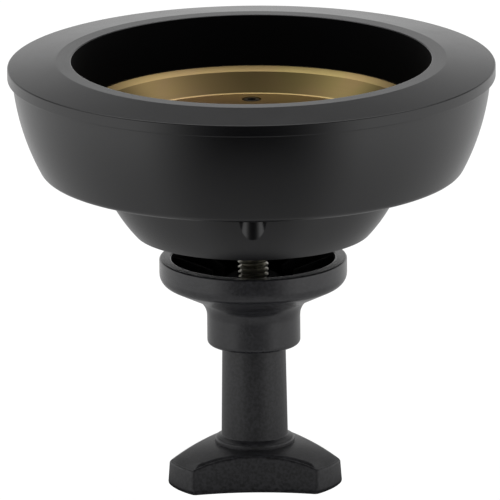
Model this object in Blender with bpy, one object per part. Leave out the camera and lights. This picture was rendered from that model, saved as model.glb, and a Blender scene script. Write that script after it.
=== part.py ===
"""Half ball adapter: a 150 mm half ball ring on a 100 mm half ball, a clamp cup and a three-lobe handle.

Lengths are in metres and angles in radians. The adapter's axis is the z axis, and the knob stands on the
plane z = 0. Heights are worked out from the knob's base upwards, piece by piece.
"""

import math

import bmesh
import bpy
from mathutils import Matrix, Vector

# Fits
SEAT_GAP = 0.0003  # between pieces that bear on each other
RUNNING_GAP = 0.0003  # between pieces that turn or slide on each other
SCREW_GAP = 0.0003  # round a screw's shank

# Three-lobe knob
LOBES = 3
KNOB_RADIUS = 0.0282  # the lobes' ends lie on this circle
LOBE_WIDTH = 0.0175
LOBE_CORNER = 0.0013  # rounding of a lobe's upright corners
FLANK_HOLLOW = 0.0028  # how far a flank curves in between two lobes
KNOB_DRAFT = math.radians(3)
KNOB_CROWN = 0.0127  # height of the knob's top at the foot of the shaft
CROWN_SLOPE = math.radians(6)  # fall of the top where it leaves the shaft's foot
CROWN_CURVE = 0.0500  # radius of the top's curve from there outwards
BASE_ROUNDING = 0.0018
RIM_ROUNDING = 0.0008
KNOB_WALL = 0.0028  # round the pockets in the knob's underside
KNOB_SKIN = 0.0025  # over the pockets at the lobes' ends
KNOB_BOSS_WALL = 0.0037  # round the plug
KNOB_RIB = 0.0022

# Shaft and neck of the handle
SHAFT_FOOT_RADIUS = 0.0104
SHAFT_TOP_RADIUS = 0.00995
SHAFT_TOP = 0.0440  # height of the shoulder that carries the clamp cup
FOOT_FLARE = 0.0021  # width of the sloping ring round the shaft's foot
FOOT_RISE = 0.0023
NECK_RADIUS = 0.0075
NECK_LAND = 0.0009  # neck above the circlip

# Threaded insert and plug
INSERT_FLATS = 0.0127
INSERT_LENGTH = 0.0120
INSERT_SINK = 0.0045  # from the shoulder down to the insert
PLUG_LEDGE = 0.0007  # width of the step in the bore that the plug bears on
PLUG_THICKNESS = 0.0020
PLUG_RECESS = 0.0004

# Clamp cup
COLLAR_RADIUS = 0.0146
COLLAR_LENGTH = 0.0205  # to the level where the cup's underside would meet its side
COLLAR_ROUNDING = 0.0015
HUB_DROP = 0.0022  # from that level down to the hub's top
CUP_RADIUS = 0.0294
CUP_DEPTH = 0.0074  # from that level to the rim
CUP_WALL = 0.0038
CUP_SLOPE = math.radians(26)  # fall of the underside towards the collar
CUP_FLARE = 0.0065  # radius of the sweep from the underside into the collar
CUP_FLOOR = 0.0030
CUP_ROUNDING = 0.0040
CUP_RIM_BREAK = 0.0005
CUP_HOLLOW_ROUNDING = 0.0010
CUP_RIBS = 12
CUP_RIB = 0.0015
CUP_RIB_ROOT = 0.0010  # how deep a rib runs into the wall and the floor
CUP_RIB_SINK = 0.0012  # a rib's top below the rim, at the wall
CUP_RIB_FALL = 0.0040  # and how much lower it is at the hub
CUP_RIB_ROOM = 0.0022  # from the upper washer out to the ribs
BUSH_WALL = 0.0018
WASHER_THICKNESS = 0.0010
UPPER_WASHER_RADIUS = 0.0110
CIRCLIP_THICKNESS = 0.0010
CIRCLIP_WIDTH = 0.0022
CIRCLIP_BITE = 0.0005  # how deep the circlip sits in the neck's groove
CIRCLIP_MOUTH = math.radians(36)

# Rest position of the cup: the way from its rim up to the lower ball
CLAMP_GAP = 0.0083

# Stud and what is on it
STUD_RADIUS = 0.0047625  # 3/8 inch, 16 turns to the inch
STUD_TIP = 0.0016  # stud below the stop ring
STUD_HEAD = 0.0006  # stud above the nut
STUD_CHAMFER = 0.0006
STOP_RING_RADIUS = 0.0060
STOP_RING_THICKNESS = 0.0010
STOP_RING_BITE = 0.0006
NUT_FLATS = 0.0142875
NUT_THICKNESS = 0.0056
NUT_CHAMFER = 0.0007
STUD_WASHER_RADIUS = 0.0103
STUD_WASHER_THICKNESS = 0.0016

# Lower half ball
LOWER_BALL_RADIUS = 0.0500
LOWER_BALL_DROP = 0.0339  # from the ball's centre down to its flat foot
LOWER_BALL_SHOW = 0.0195  # from the foot up to the ring's underside
LOWER_BALL_ROUNDING = 0.0012
LOWER_BALL_FLOOR = 0.0095
CAVITY_RADIUS = 0.0330
SPIGOT_RADIUS = 0.0180

# Ring
RING_BALL_RADIUS = 0.0750
RING_CENTRE_RISE = 0.0006  # the ball's centre above the lip
RING_ROUNDING = 0.0020
FLANGE_STEP = 0.0013  # how far the flange stands out of the ball
FLANGE_BAND = 0.0037
TOP_FALL = 0.0020  # fall of the conical top from the lip to the flange
LIP_BAND = 0.0047  # width of the flat band round the opening
OPENING_RADIUS = 0.0564
OPENING_BREAK = 0.0004
FLANGE_BREAK = 0.0005
SOCKET_DEPTH = 0.0040
WEB_THICKNESS = 0.0045
RECESS_DEPTH = 0.0153  # from the lip down to the dish's rim

# Seat dish
DISH_RADIUS = 0.05265
DISH_RIM_WIDTH = 0.00365
DISH_RIM_RISE = 0.0012
DISH_WALL_RUN = 0.0050  # width of the conical wall, seen from above
DISH_WALL_RISE = 0.0059
DISH_FLOOR_THICKNESS = 0.0048
WRENCH_ROOM = 0.0020  # from the stud's washer out to the hole's wall
DISH_FILLET = 0.0008

# Screws
BALL_SCREWS = 3
BALL_SCREW_EDGE = 0.00515  # from the dish's edge in to the screw's axis
BALL_SCREW_ANGLE = math.radians(-90)
BALL_SCREW_RADIUS = 0.0025
BALL_SCREW_HEAD_RADIUS = 0.00425
BALL_SCREW_HEAD = 0.0050
BALL_SCREW_SKIN = 0.0004  # of the dish, over the screw's hole
BALL_SCREW_SOCKET = 0.0040
BALL_SCREW_WEB = 0.0033  # of the web, over the head's seat
COUNTERBORE_GAP = 0.00025
DISH_SCREWS = 3
DISH_SCREW_WALL = 0.0040  # from the lower ball's cavity out to the screw's axis
DISH_SCREW_ANGLE = math.radians(90)
DISH_SCREW_RADIUS = 0.0015
DISH_SCREW_HEAD_RADIUS = 0.00275
DISH_SCREW_HEAD = 0.0030
DISH_SCREW_LENGTH = 0.0160
DISH_SCREW_SOCKET = 0.0025
SOCKET_SHARE = 0.55  # depth of a screw's socket as a share of its head

# Facets
RING_SIDES = 56
CUP_SIDES = 48
SMALL_SIDES = 24
SCREW_SIDES = 16
ARC_STEPS = 3
CHAMFERED = 0.0006  # a rounding below this is a plain chamfer
BALL_STEPS = 5
FLANK_STEPS = 7
LOBE_END_STEPS = 3
RIM_STEPS = 2
CROWN_STEPS = 3
SMOOTH_ANGLE = math.radians(30)
WELD = 1e-6
OVERSHOOT = 0.0030  # how far a cutter stands out of what it cuts

# Heights, from the knob's base upwards
PLUG_TOP = PLUG_RECESS + PLUG_THICKNESS
INSERT_TOP = SHAFT_TOP - INSERT_SINK
INSERT_FOOT = INSERT_TOP - INSERT_LENGTH
COLLAR_FOOT = SHAFT_TOP + RUNNING_GAP
CUP_UNDERSIDE = COLLAR_FOOT + COLLAR_LENGTH
CUP_RIM = CUP_UNDERSIDE + CUP_DEPTH
HUB_TOP = CUP_UNDERSIDE - HUB_DROP
CUP_FLOOR_HEIGHT = CUP_UNDERSIDE + CUP_FLOOR / math.cos(CUP_SLOPE)  # the hollow's floor, carried on outwards
UPPER_WASHER_FOOT = HUB_TOP + RUNNING_GAP
CIRCLIP_FOOT = UPPER_WASHER_FOOT + WASHER_THICKNESS + SEAT_GAP
CIRCLIP_TOP = CIRCLIP_FOOT + CIRCLIP_THICKNESS
NECK_TOP = CIRCLIP_TOP + SEAT_GAP + NECK_LAND
BALL_FOOT = CUP_RIM + CLAMP_GAP
LOWER_BALL_CENTRE = BALL_FOOT + LOWER_BALL_DROP
RING_UNDERSIDE = BALL_FOOT + LOWER_BALL_SHOW
SOCKET_CEILING = RING_UNDERSIDE + SOCKET_DEPTH
BALL_TOP = SOCKET_CEILING - SEAT_GAP
WEB_TOP = SOCKET_CEILING + WEB_THICKNESS
SPIGOT_TOP = WEB_TOP - SEAT_GAP
DISH_FOOT = WEB_TOP + SEAT_GAP
DISH_FLOOR = DISH_FOOT + DISH_FLOOR_THICKNESS
DISH_WALL_TOP = DISH_FLOOR + DISH_WALL_RISE
DISH_RIM = DISH_WALL_TOP + DISH_RIM_RISE
LIP = DISH_RIM + RECESS_DEPTH
RING_CENTRE = LIP + RING_CENTRE_RISE
FLANGE_TOP = LIP - TOP_FALL
FLANGE_FOOT = FLANGE_TOP - FLANGE_BAND
STUD_WASHER_FOOT = SPIGOT_TOP + SEAT_GAP
NUT_FOOT = STUD_WASHER_FOOT + STUD_WASHER_THICKNESS + SEAT_GAP
STUD_TOP = NUT_FOOT + NUT_THICKNESS + STUD_HEAD
STUD_END = PLUG_TOP + CLAMP_GAP + RUNNING_GAP
STOP_RING_FOOT = STUD_END + STUD_TIP
STOP_RING_TOP = STOP_RING_FOOT + STOP_RING_THICKNESS
BALL_SCREW_SEAT = WEB_TOP - BALL_SCREW_WEB
BALL_SCREW_TIP = DISH_FLOOR - BALL_SCREW_SKIN - SCREW_GAP
DISH_SCREW_SEAT = DISH_FLOOR - DISH_SCREW_HEAD - SEAT_GAP

# Radii that follow from the fits
STUD_HOLE = STUD_RADIUS + SCREW_GAP
LOWER_BORE = STOP_RING_RADIUS + RUNNING_GAP
PLUG_RADIUS = LOWER_BORE + PLUG_LEDGE
PLUG_BORE = PLUG_RADIUS + SEAT_GAP
BOSS_RADIUS = PLUG_BORE + KNOB_BOSS_WALL
BUSH_BORE = NECK_RADIUS + RUNNING_GAP
BUSH_RADIUS = BUSH_BORE + BUSH_WALL
COLLAR_BORE = BUSH_RADIUS + SEAT_GAP
CUP_RIB_START = UPPER_WASHER_RADIUS + CUP_RIB_ROOM
CUP_HUB_EDGE = CUP_RADIUS - (CUP_FLOOR_HEIGHT - HUB_TOP) / math.tan(CUP_SLOPE)
FLANGE_RADIUS = RING_BALL_RADIUS + FLANGE_STEP
REGISTER_RADIUS = math.sqrt(LOWER_BALL_RADIUS**2 - (LOWER_BALL_CENTRE - RING_UNDERSIDE) ** 2)
RING_SOCKET = REGISTER_RADIUS + SEAT_GAP
WEB_BORE = SPIGOT_RADIUS + SEAT_GAP
DISH_BORE = DISH_RADIUS + SEAT_GAP
DISH_FLOOR_RADIUS = DISH_RADIUS - DISH_RIM_WIDTH - DISH_WALL_RUN
DISH_HOLE_RADIUS = STUD_WASHER_RADIUS + WRENCH_ROOM
BALL_SCREW_CIRCLE = DISH_RADIUS - BALL_SCREW_EDGE
DISH_SCREW_CIRCLE = CAVITY_RADIUS + DISH_SCREW_WALL
CROWN_START = SHAFT_FOOT_RADIUS + FOOT_FLARE

# Finishes: colour, roughness, metallic
FINISHES = {
    "black_anodised": ((0.018, 0.018, 0.020), 0.38, 0.6),
    "gold_chromate": ((0.42, 0.34, 0.17), 0.40, 1.0),
    "black_moulding": ((0.022, 0.022, 0.024), 0.55, 0.0),
    "zinc_steel": ((0.45, 0.44, 0.40), 0.35, 1.0),
    "black_steel": ((0.03, 0.03, 0.032), 0.40, 0.9),
    "brass": ((0.62, 0.48, 0.22), 0.32, 1.0),
    "nylon": ((0.70, 0.68, 0.62), 0.50, 0.0),
    "bronze": ((0.45, 0.28, 0.14), 0.40, 1.0),
}


def clear_scene():
    """Remove every object of the scene that the script starts in."""
    for thing in list(bpy.data.objects):
        bpy.data.objects.remove(thing, do_unlink=True)


def finish_material(name):
    """Return the Principled material of this finish, made once."""
    material = bpy.data.materials.get(name)
    if material is None:
        colour, roughness, metallic = FINISHES[name]
        material = bpy.data.materials.new(name)
        material.use_nodes = True
        shader = material.node_tree.nodes["Principled BSDF"]
        shader.inputs["Base Color"].default_value = (*colour, 1.0)
        shader.inputs["Roughness"].default_value = roughness
        shader.inputs["Metallic"].default_value = metallic
    return material


def own_material(piece_name, finish):
    """Return a copy of the finish's material that belongs to one piece."""
    material = finish_material(finish).copy()
    material.name = f"{piece_name}_{finish}"
    return material


def add_object(name, bm, finish=None, parent=None, location=(0, 0, 0)):
    """Turn a bmesh into an object of the scene, with smooth round faces and a material of its own."""
    bmesh.ops.recalc_face_normals(bm, faces=bm.faces)
    mesh = bpy.data.meshes.new(name)
    bm.to_mesh(mesh)
    bm.free()
    mesh.shade_smooth()
    mesh.set_sharp_from_angle(angle=SMOOTH_ANGLE)
    piece = bpy.data.objects.new(name, mesh)
    bpy.context.scene.collection.objects.link(piece)
    piece.location = location
    piece.parent = parent
    if finish:
        mesh.materials.append(own_material(name, finish))
    return piece


def add_joint_empty(name, parent=None):
    """An empty on the adapter's axis, which carries the pieces that move together."""
    empty = bpy.data.objects.new(name, None)
    bpy.context.scene.collection.objects.link(empty)
    empty.parent = parent
    return empty


def combine(piece, tool, operation="DIFFERENCE"):
    """Cut a piece with a hidden tool, or join the tool to it."""
    tool.hide_render = True
    tool.display_type = "WIRE"
    modifier = piece.modifiers.new(tool.name, "BOOLEAN")
    modifier.operation = operation
    modifier.solver = "EXACT"
    modifier.object = tool


def rounded(corners):
    """Replace the corners of a closed outline by arcs. Each corner is (x, y) or (x, y, rounding)."""
    path = []
    for index, corner in enumerate(corners):
        here = Vector(corner[:2])
        if len(corner) == 2:
            path.append(tuple(here))
            continue
        before = (Vector(corners[index - 1][:2]) - here).normalized()
        after = (Vector(corners[(index + 1) % len(corners)][:2]) - here).normalized()
        half = before.angle(after) / 2
        centre = here + (before + after).normalized() * corner[2] / math.sin(half)
        start = here + before * corner[2] / math.tan(half) - centre
        end = here + after * corner[2] / math.tan(half) - centre
        sweep = math.atan2(start.x * end.y - start.y * end.x, start.dot(end))
        steps = ARC_STEPS if corner[2] > CHAMFERED else 1
        for step in range(steps + 1):
            path.append(tuple(centre + Matrix.Rotation(sweep * step / steps, 2) @ start))
    return path


def ball_side(radius, centre, top, floor, rounding):
    """Points down a ball's side from the height top, ending in a rounded corner on the plane at floor."""
    reach = math.sqrt((radius - rounding) ** 2 - (centre - floor - rounding) ** 2)
    arc_centre = Vector((reach, floor + rounding))
    first = math.asin((top - centre) / radius)
    last = math.atan2(arc_centre.y - centre, arc_centre.x)
    angles = [first + (last - first) * step / BALL_STEPS for step in range(BALL_STEPS + 1)]
    side = [(radius * math.cos(angle), centre + radius * math.sin(angle)) for angle in angles]
    for step in range(1, ARC_STEPS + 1):
        angle = last + (-math.pi / 2 - last) * step / ARC_STEPS
        side.append((arc_centre.x + rounding * math.cos(angle), arc_centre.y + rounding * math.sin(angle)))
    return side


def revolved(profile, sides):
    """Spin an outline of (radius, height) points about the z axis. One that ends on the axis isn't closed."""
    bm = bmesh.new()
    corners = [bm.verts.new((radius, 0.0, height)) for radius, height in profile]
    edges = [bm.edges.new(pair) for pair in zip(corners, corners[1:])]
    if min(radius for radius, _ in profile) > WELD:
        edges.append(bm.edges.new((corners[-1], corners[0])))
    bmesh.ops.spin(
        bm, geom=corners + edges, axis=(0, 0, 1), cent=(0, 0, 0), angle=math.tau, steps=sides, use_merge=True
    )
    bmesh.ops.remove_doubles(bm, verts=bm.verts, dist=WELD)
    bmesh.ops.dissolve_degenerate(bm, dist=WELD, edges=bm.edges)
    return bm


def add_turned(name, profile, sides, finish=None, parent=None, location=(0, 0, 0)):
    """A turned piece, or a turned tool when it has no finish."""
    return add_object(name, revolved(profile, sides), finish, parent, location)


def add_prism(name, outline, low, high, finish=None, parent=None, location=(0, 0, 0)):
    """Extrude a flat outline of (x, y) points from the height low to the height high."""
    bm = bmesh.new()
    base = bm.faces.new([bm.verts.new((x, y, low)) for x, y in outline])
    top = bmesh.ops.extrude_face_region(bm, geom=[base])["geom"]
    risen = [item for item in top if isinstance(item, bmesh.types.BMVert)]
    bmesh.ops.translate(bm, verts=risen, vec=(0, 0, high - low))
    return add_object(name, bm, finish, parent, location)


def merge_into(bm, other, turn):
    """Copy one bmesh into another, moved by a matrix."""
    mesh = bpy.data.meshes.new("copied")
    bmesh.ops.transform(other, matrix=turn, verts=other.verts)
    other.to_mesh(mesh)
    other.free()
    bm.from_mesh(mesh)
    bpy.data.meshes.remove(mesh)


def circle_places(count, radius, first_angle):
    """(x, y) of places evenly round a circle."""
    angles = [first_angle + math.tau * index / count for index in range(count)]
    return [(radius * math.cos(angle), radius * math.sin(angle)) for angle in angles]


def hexagon(flats):
    """Outline of a hexagon by the distance across its flats."""
    reach = flats / 2 / math.cos(math.pi / 6)
    return circle_places(6, reach, 0.0)


def add_hole_tool(name, steps, places, sides=SCREW_SIDES):
    """Tools for stepped holes, one at each place. steps lists (radius, height) down a hole's outline."""
    bm = bmesh.new()
    profile = [(0.0, steps[0][1]), *steps, (0.0, steps[-1][1])]
    for x, y in places:
        merge_into(bm, revolved(profile, sides), Matrix.Translation((x, y, 0)))
    return add_object(name, bm)


def screw_places(kind):
    """Where the screws of one kind stand."""
    if kind == "ball":
        return circle_places(BALL_SCREWS, BALL_SCREW_CIRCLE, BALL_SCREW_ANGLE)
    return circle_places(DISH_SCREWS, DISH_SCREW_CIRCLE, DISH_SCREW_ANGLE)


def make_ring():
    """The 150 mm half ball ring: flange, ball, deep opening, web, and a socket for the lower ball below."""
    profile = rounded(
        [
            (OPENING_RADIUS, LIP, OPENING_BREAK),
            (OPENING_RADIUS + LIP_BAND, LIP),
            (FLANGE_RADIUS, FLANGE_TOP, FLANGE_BREAK),
            (FLANGE_RADIUS, FLANGE_FOOT, FLANGE_BREAK),
            *ball_side(RING_BALL_RADIUS, RING_CENTRE, FLANGE_FOOT, RING_UNDERSIDE, RING_ROUNDING),
            (RING_SOCKET, RING_UNDERSIDE),
            (RING_SOCKET, SOCKET_CEILING),
            (WEB_BORE, SOCKET_CEILING),
            (WEB_BORE, WEB_TOP),
            (DISH_BORE, WEB_TOP),
            (DISH_BORE, DISH_RIM),
        ]
    )
    ring = add_turned("half_ball_ring", profile, RING_SIDES, "black_anodised")
    seat = BALL_SCREW_SEAT
    bore = BALL_SCREW_HEAD_RADIUS + COUNTERBORE_GAP
    shank = BALL_SCREW_RADIUS + SCREW_GAP
    combine(
        ring,
        add_hole_tool(
            "ring_counterbores",
            [(shank, WEB_TOP + OVERSHOOT), (shank, seat), (bore, seat), (bore, RING_UNDERSIDE - OVERSHOOT)],
            screw_places("ball"),
        ),
    )
    shank = DISH_SCREW_RADIUS + SCREW_GAP
    through = [(shank, WEB_TOP + OVERSHOOT), (shank, SOCKET_CEILING - OVERSHOOT)]
    combine(ring, add_hole_tool("web_holes", through, screw_places("dish")))


def make_lower_ball():
    """The 100 mm half ball: flat foot, register and spigot on top, hollow, with a scallop for each screw."""
    side = ball_side(LOWER_BALL_RADIUS, LOWER_BALL_CENTRE, RING_UNDERSIDE, BALL_FOOT, LOWER_BALL_ROUNDING)
    profile = [
        (STUD_HOLE, SPIGOT_TOP),
        (SPIGOT_RADIUS, SPIGOT_TOP),
        (SPIGOT_RADIUS, BALL_FOOT + LOWER_BALL_FLOOR),
        (CAVITY_RADIUS, BALL_FOOT + LOWER_BALL_FLOOR),
        (CAVITY_RADIUS, BALL_TOP),
        (REGISTER_RADIUS, BALL_TOP),
        *side,
        (STUD_HOLE, BALL_FOOT),
    ]
    ball = add_turned("lower_half_ball", profile, RING_SIDES, "black_anodised")
    bore = BALL_SCREW_HEAD_RADIUS + COUNTERBORE_GAP
    scallop = [(bore, BALL_TOP + OVERSHOOT), (bore, BALL_FOOT - OVERSHOOT)]
    combine(ball, add_hole_tool("ball_scallops", scallop, screw_places("ball")))
    hole = DISH_SCREW_RADIUS + SCREW_GAP
    tip = DISH_SCREW_SEAT + SEAT_GAP - DISH_SCREW_LENGTH
    thread = [(hole, BALL_TOP + OVERSHOOT), (hole, tip - SCREW_GAP)]
    combine(ball, add_hole_tool("ball_threads", thread, screw_places("dish")))


def make_dish():
    """The gold seat dish: sloping rim, conical wall and a floor with a round hole for the stud's nut."""
    profile = rounded(
        [
            (DISH_RADIUS, DISH_FOOT),
            (DISH_RADIUS, DISH_RIM),
            (DISH_RADIUS - DISH_RIM_WIDTH, DISH_WALL_TOP),
            (DISH_FLOOR_RADIUS, DISH_FLOOR, DISH_FILLET),
            (DISH_HOLE_RADIUS, DISH_FLOOR),
            (DISH_HOLE_RADIUS, DISH_FOOT),
        ]
    )
    dish = add_turned("seat_dish", profile, RING_SIDES, "gold_chromate")
    hole = BALL_SCREW_RADIUS + SCREW_GAP
    thread = [(hole, BALL_SCREW_TIP + SCREW_GAP), (hole, DISH_FOOT - OVERSHOOT)]
    combine(dish, add_hole_tool("dish_threads", thread, screw_places("ball")))
    seat = DISH_SCREW_SEAT
    head = DISH_SCREW_HEAD_RADIUS + SCREW_GAP
    shank = DISH_SCREW_RADIUS + SCREW_GAP
    bore = [(head, DISH_FLOOR + OVERSHOOT), (head, seat), (shank, seat), (shank, DISH_FOOT - OVERSHOOT)]
    combine(dish, add_hole_tool("dish_holes", bore, screw_places("dish")))


def make_socket_screw(name, place, seat, radius, head_radius, head, length, socket, points_up):
    """A socket-head screw whose head bears on the height seat."""
    profile = [
        (0.0, -length),
        (radius, -length),
        (radius, 0.0),
        (head_radius, 0.0),
        (head_radius, head),
        (0.0, head),
    ]
    bm = revolved(profile, SCREW_SIDES)
    if points_up:
        bmesh.ops.rotate(bm, verts=bm.verts, matrix=Matrix.Rotation(math.pi, 3, "X"))
    screw = add_object(name, bm, "black_steel", location=(*place, seat))
    depth = head * SOCKET_SHARE
    low, high = (-head - OVERSHOOT, depth - head) if points_up else (head - depth, head + OVERSHOOT)
    combine(screw, add_prism(f"{name}_socket", hexagon(socket), low, high, location=(*place, seat)))


def make_screws():
    """Three screws up into the dish from the scallops, and three down into the lower ball from the dish."""
    for index, place in enumerate(screw_places("ball"), start=1):
        make_socket_screw(
            f"ball_screw_{index}",
            place,
            BALL_SCREW_SEAT - SEAT_GAP,
            BALL_SCREW_RADIUS,
            BALL_SCREW_HEAD_RADIUS,
            BALL_SCREW_HEAD,
            BALL_SCREW_TIP - BALL_SCREW_SEAT + SEAT_GAP,
            BALL_SCREW_SOCKET,
            points_up=True,
        )
    for index, place in enumerate(screw_places("dish"), start=1):
        make_socket_screw(
            f"dish_screw_{index}",
            place,
            DISH_SCREW_SEAT + SEAT_GAP,
            DISH_SCREW_RADIUS,
            DISH_SCREW_HEAD_RADIUS,
            DISH_SCREW_HEAD,
            DISH_SCREW_LENGTH,
            DISH_SCREW_SOCKET,
            points_up=False,
        )


def make_washer(name, bore, radius, foot, thickness, finish, parent=None):
    """A plain washer or ring, with its foot at a height."""
    profile = [(bore, foot), (radius, foot), (radius, foot + thickness), (bore, foot + thickness)]
    add_turned(name, profile, SMALL_SIDES, finish, parent)


def make_stud():
    """The stud with its washer, jam nut and stop ring. Its thread isn't cut here."""
    groove = STUD_RADIUS - STOP_RING_BITE
    profile = [
        (0.0, STUD_END),
        (STUD_RADIUS - STUD_CHAMFER, STUD_END),
        (STUD_RADIUS, STUD_END + STUD_CHAMFER),
        (STUD_RADIUS, STOP_RING_FOOT - SEAT_GAP),
        (groove, STOP_RING_FOOT - SEAT_GAP),
        (groove, STOP_RING_TOP + SEAT_GAP),
        (STUD_RADIUS, STOP_RING_TOP + SEAT_GAP),
        (STUD_RADIUS, STUD_TOP - STUD_CHAMFER),
        (STUD_RADIUS - STUD_CHAMFER, STUD_TOP),
        (0.0, STUD_TOP),
    ]
    add_turned("clamp_stud", profile, SMALL_SIDES, "zinc_steel")
    outer, thickness = STUD_WASHER_RADIUS, STUD_WASHER_THICKNESS
    make_washer("stud_washer", STUD_HOLE, outer, STUD_WASHER_FOOT, thickness, "zinc_steel")
    bore, outer, thickness = groove + SEAT_GAP, STOP_RING_RADIUS, STOP_RING_THICKNESS
    make_washer("stud_stop_ring", bore, outer, STOP_RING_FOOT, thickness, "black_steel")
    nut_top = NUT_FOOT + NUT_THICKNESS
    nut = add_prism("stud_nut", hexagon(NUT_FLATS), NUT_FOOT, nut_top, "zinc_steel")
    corner = NUT_FLATS / 2 / math.cos(math.pi / 6) + NUT_CHAMFER
    flat = corner - 2 * NUT_CHAMFER
    turned = [
        (STUD_HOLE, NUT_FOOT - SEAT_GAP / 2),
        (flat, NUT_FOOT - SEAT_GAP / 2),
        (corner, NUT_FOOT + NUT_CHAMFER),
        (corner, nut_top - NUT_CHAMFER),
        (flat, nut_top + SEAT_GAP / 2),
        (STUD_HOLE, nut_top + SEAT_GAP / 2),
    ]
    combine(nut, add_turned("nut_turning", turned, SMALL_SIDES), "INTERSECT")


def cup_floor_height(radius):
    """Height of the cup's hollow floor, which rises from the hub's flat top beside the sloping underside."""
    return max(HUB_TOP, CUP_FLOOR_HEIGHT - (CUP_RADIUS - radius) * math.tan(CUP_SLOPE))


def make_cup(parent):
    """The clamp cup, one moulding with a ribbed hollow, a sloping underside and a collar, and its bush."""
    wall = CUP_RADIUS - CUP_WALL
    neck = CUP_UNDERSIDE - (CUP_RADIUS - COLLAR_RADIUS) * math.tan(CUP_SLOPE)
    profile = rounded(
        [
            (CUP_RADIUS, CUP_RIM, CUP_RIM_BREAK),
            (CUP_RADIUS, CUP_UNDERSIDE, CUP_ROUNDING),
            (COLLAR_RADIUS, neck, CUP_FLARE),
            (COLLAR_RADIUS, COLLAR_FOOT, COLLAR_ROUNDING),
            (COLLAR_BORE, COLLAR_FOOT),
            (COLLAR_BORE, HUB_TOP),
            (CUP_HUB_EDGE, HUB_TOP),
            (wall, cup_floor_height(wall), CUP_HOLLOW_ROUNDING),
            (wall, CUP_RIM),
        ]
    )
    cup = add_turned("clamp_cup", profile, CUP_SIDES, "black_moulding", parent)
    top = CUP_RIM - CUP_RIB_SINK
    inner, outer = CUP_RIB_START, wall + CUP_RIB_ROOT
    foot = [(r, cup_floor_height(r) - CUP_RIB_ROOT) for r in (inner, CUP_HUB_EDGE, outer)]
    outline = [*foot, (outer, top), (inner, top - CUP_RIB_FALL)]
    ribs = bmesh.new()
    for index in range(CUP_RIBS):
        rib = bmesh.new()
        side = rib.faces.new([rib.verts.new((radius, -CUP_RIB / 2, height)) for radius, height in outline])
        risen = bmesh.ops.extrude_face_region(rib, geom=[side])["geom"]
        moved = [item for item in risen if isinstance(item, bmesh.types.BMVert)]
        bmesh.ops.translate(rib, verts=moved, vec=(0, CUP_RIB, 0))
        merge_into(ribs, rib, Matrix.Rotation(math.tau * (index + 0.5) / CUP_RIBS, 4, "Z"))
    combine(cup, add_object("cup_ribs", ribs), "UNION")
    bush_foot = COLLAR_FOOT + WASHER_THICKNESS + SEAT_GAP
    bush_length = HUB_TOP - SEAT_GAP - bush_foot
    make_washer("cup_bush", BUSH_BORE, BUSH_RADIUS, bush_foot, bush_length, "bronze", parent)


def lobed_outline(inset):
    """(x, y) points round the knob at a distance inside its largest outline, always as many."""
    turn = math.tau / LOBES
    flank_distance = KNOB_RADIUS * math.cos(turn / 2 - math.asin(LOBE_WIDTH / 2 / KNOB_RADIUS))
    radius = KNOB_RADIUS - inset
    half = turn / 2 - math.acos((flank_distance - inset) / radius)
    corners = []
    for lobe in range(LOBES):
        middle = math.pi / 2 + lobe * turn
        spread = [middle - half + 2 * half * step / LOBE_END_STEPS for step in range(LOBE_END_STEPS + 1)]
        right, *end, left = [Vector((radius * math.cos(a), radius * math.sin(a))) for a in spread]
        following = Matrix.Rotation(turn, 2) @ right
        chord = following - left
        inward = Vector((-chord.y, chord.x)).normalized()
        flank = []
        for step in range(1, FLANK_STEPS):
            share = step / FLANK_STEPS
            flank.append(left + chord * share + inward * FLANK_HOLLOW * 4 * share * (1 - share))
        corners += [(*right, LOBE_CORNER), *map(tuple, end), (*left, LOBE_CORNER), *map(tuple, flank)]
    return rounded(corners)


def crown_height(radius):
    """Height of the knob's gently domed top."""
    centre = CROWN_START - CROWN_CURVE * math.sin(CROWN_SLOPE)
    drop = CROWN_CURVE * math.cos(CROWN_SLOPE)
    return KNOB_CROWN - drop + math.sqrt(CROWN_CURVE**2 - (radius - centre) ** 2)


def knob_rings():
    """Rings of points over the knob, from its flat base up the drafted flanks and in over its top."""
    largest = lobed_outline(0.0)
    rings = []
    for step in range(ARC_STEPS + 1):
        angle = math.pi / 2 * step / ARC_STEPS
        height = BASE_ROUNDING * (1 - math.cos(angle))
        outline = lobed_outline(BASE_ROUNDING * (1 - math.sin(angle)))
        rings.append([(x, y, height) for x, y in outline])
    edges = [crown_height(math.hypot(x, y)) for x, y in largest]
    for step in range(RIM_STEPS + 1):
        angle = math.pi / 2 * step / RIM_STEPS
        drop = RIM_ROUNDING * (1 - math.sin(angle))
        bend = RIM_ROUNDING * (1 - math.cos(angle))
        ring = []
        for index, edge in enumerate(edges):
            x, y = lobed_outline(bend + (edge - drop) * math.tan(KNOB_DRAFT))[index]
            ring.append((x, y, edge - drop))
        rings.append(ring)
    rim = rings[-1]
    for step in range(1, CROWN_STEPS + 1):
        ring = []
        for x, y, _ in rim:
            radius = math.hypot(x, y)
            moved = radius + (CROWN_START - radius) * step / CROWN_STEPS
            ring.append((x / radius * moved, y / radius * moved, crown_height(moved)))
        rings.append(ring)
    return rings


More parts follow.
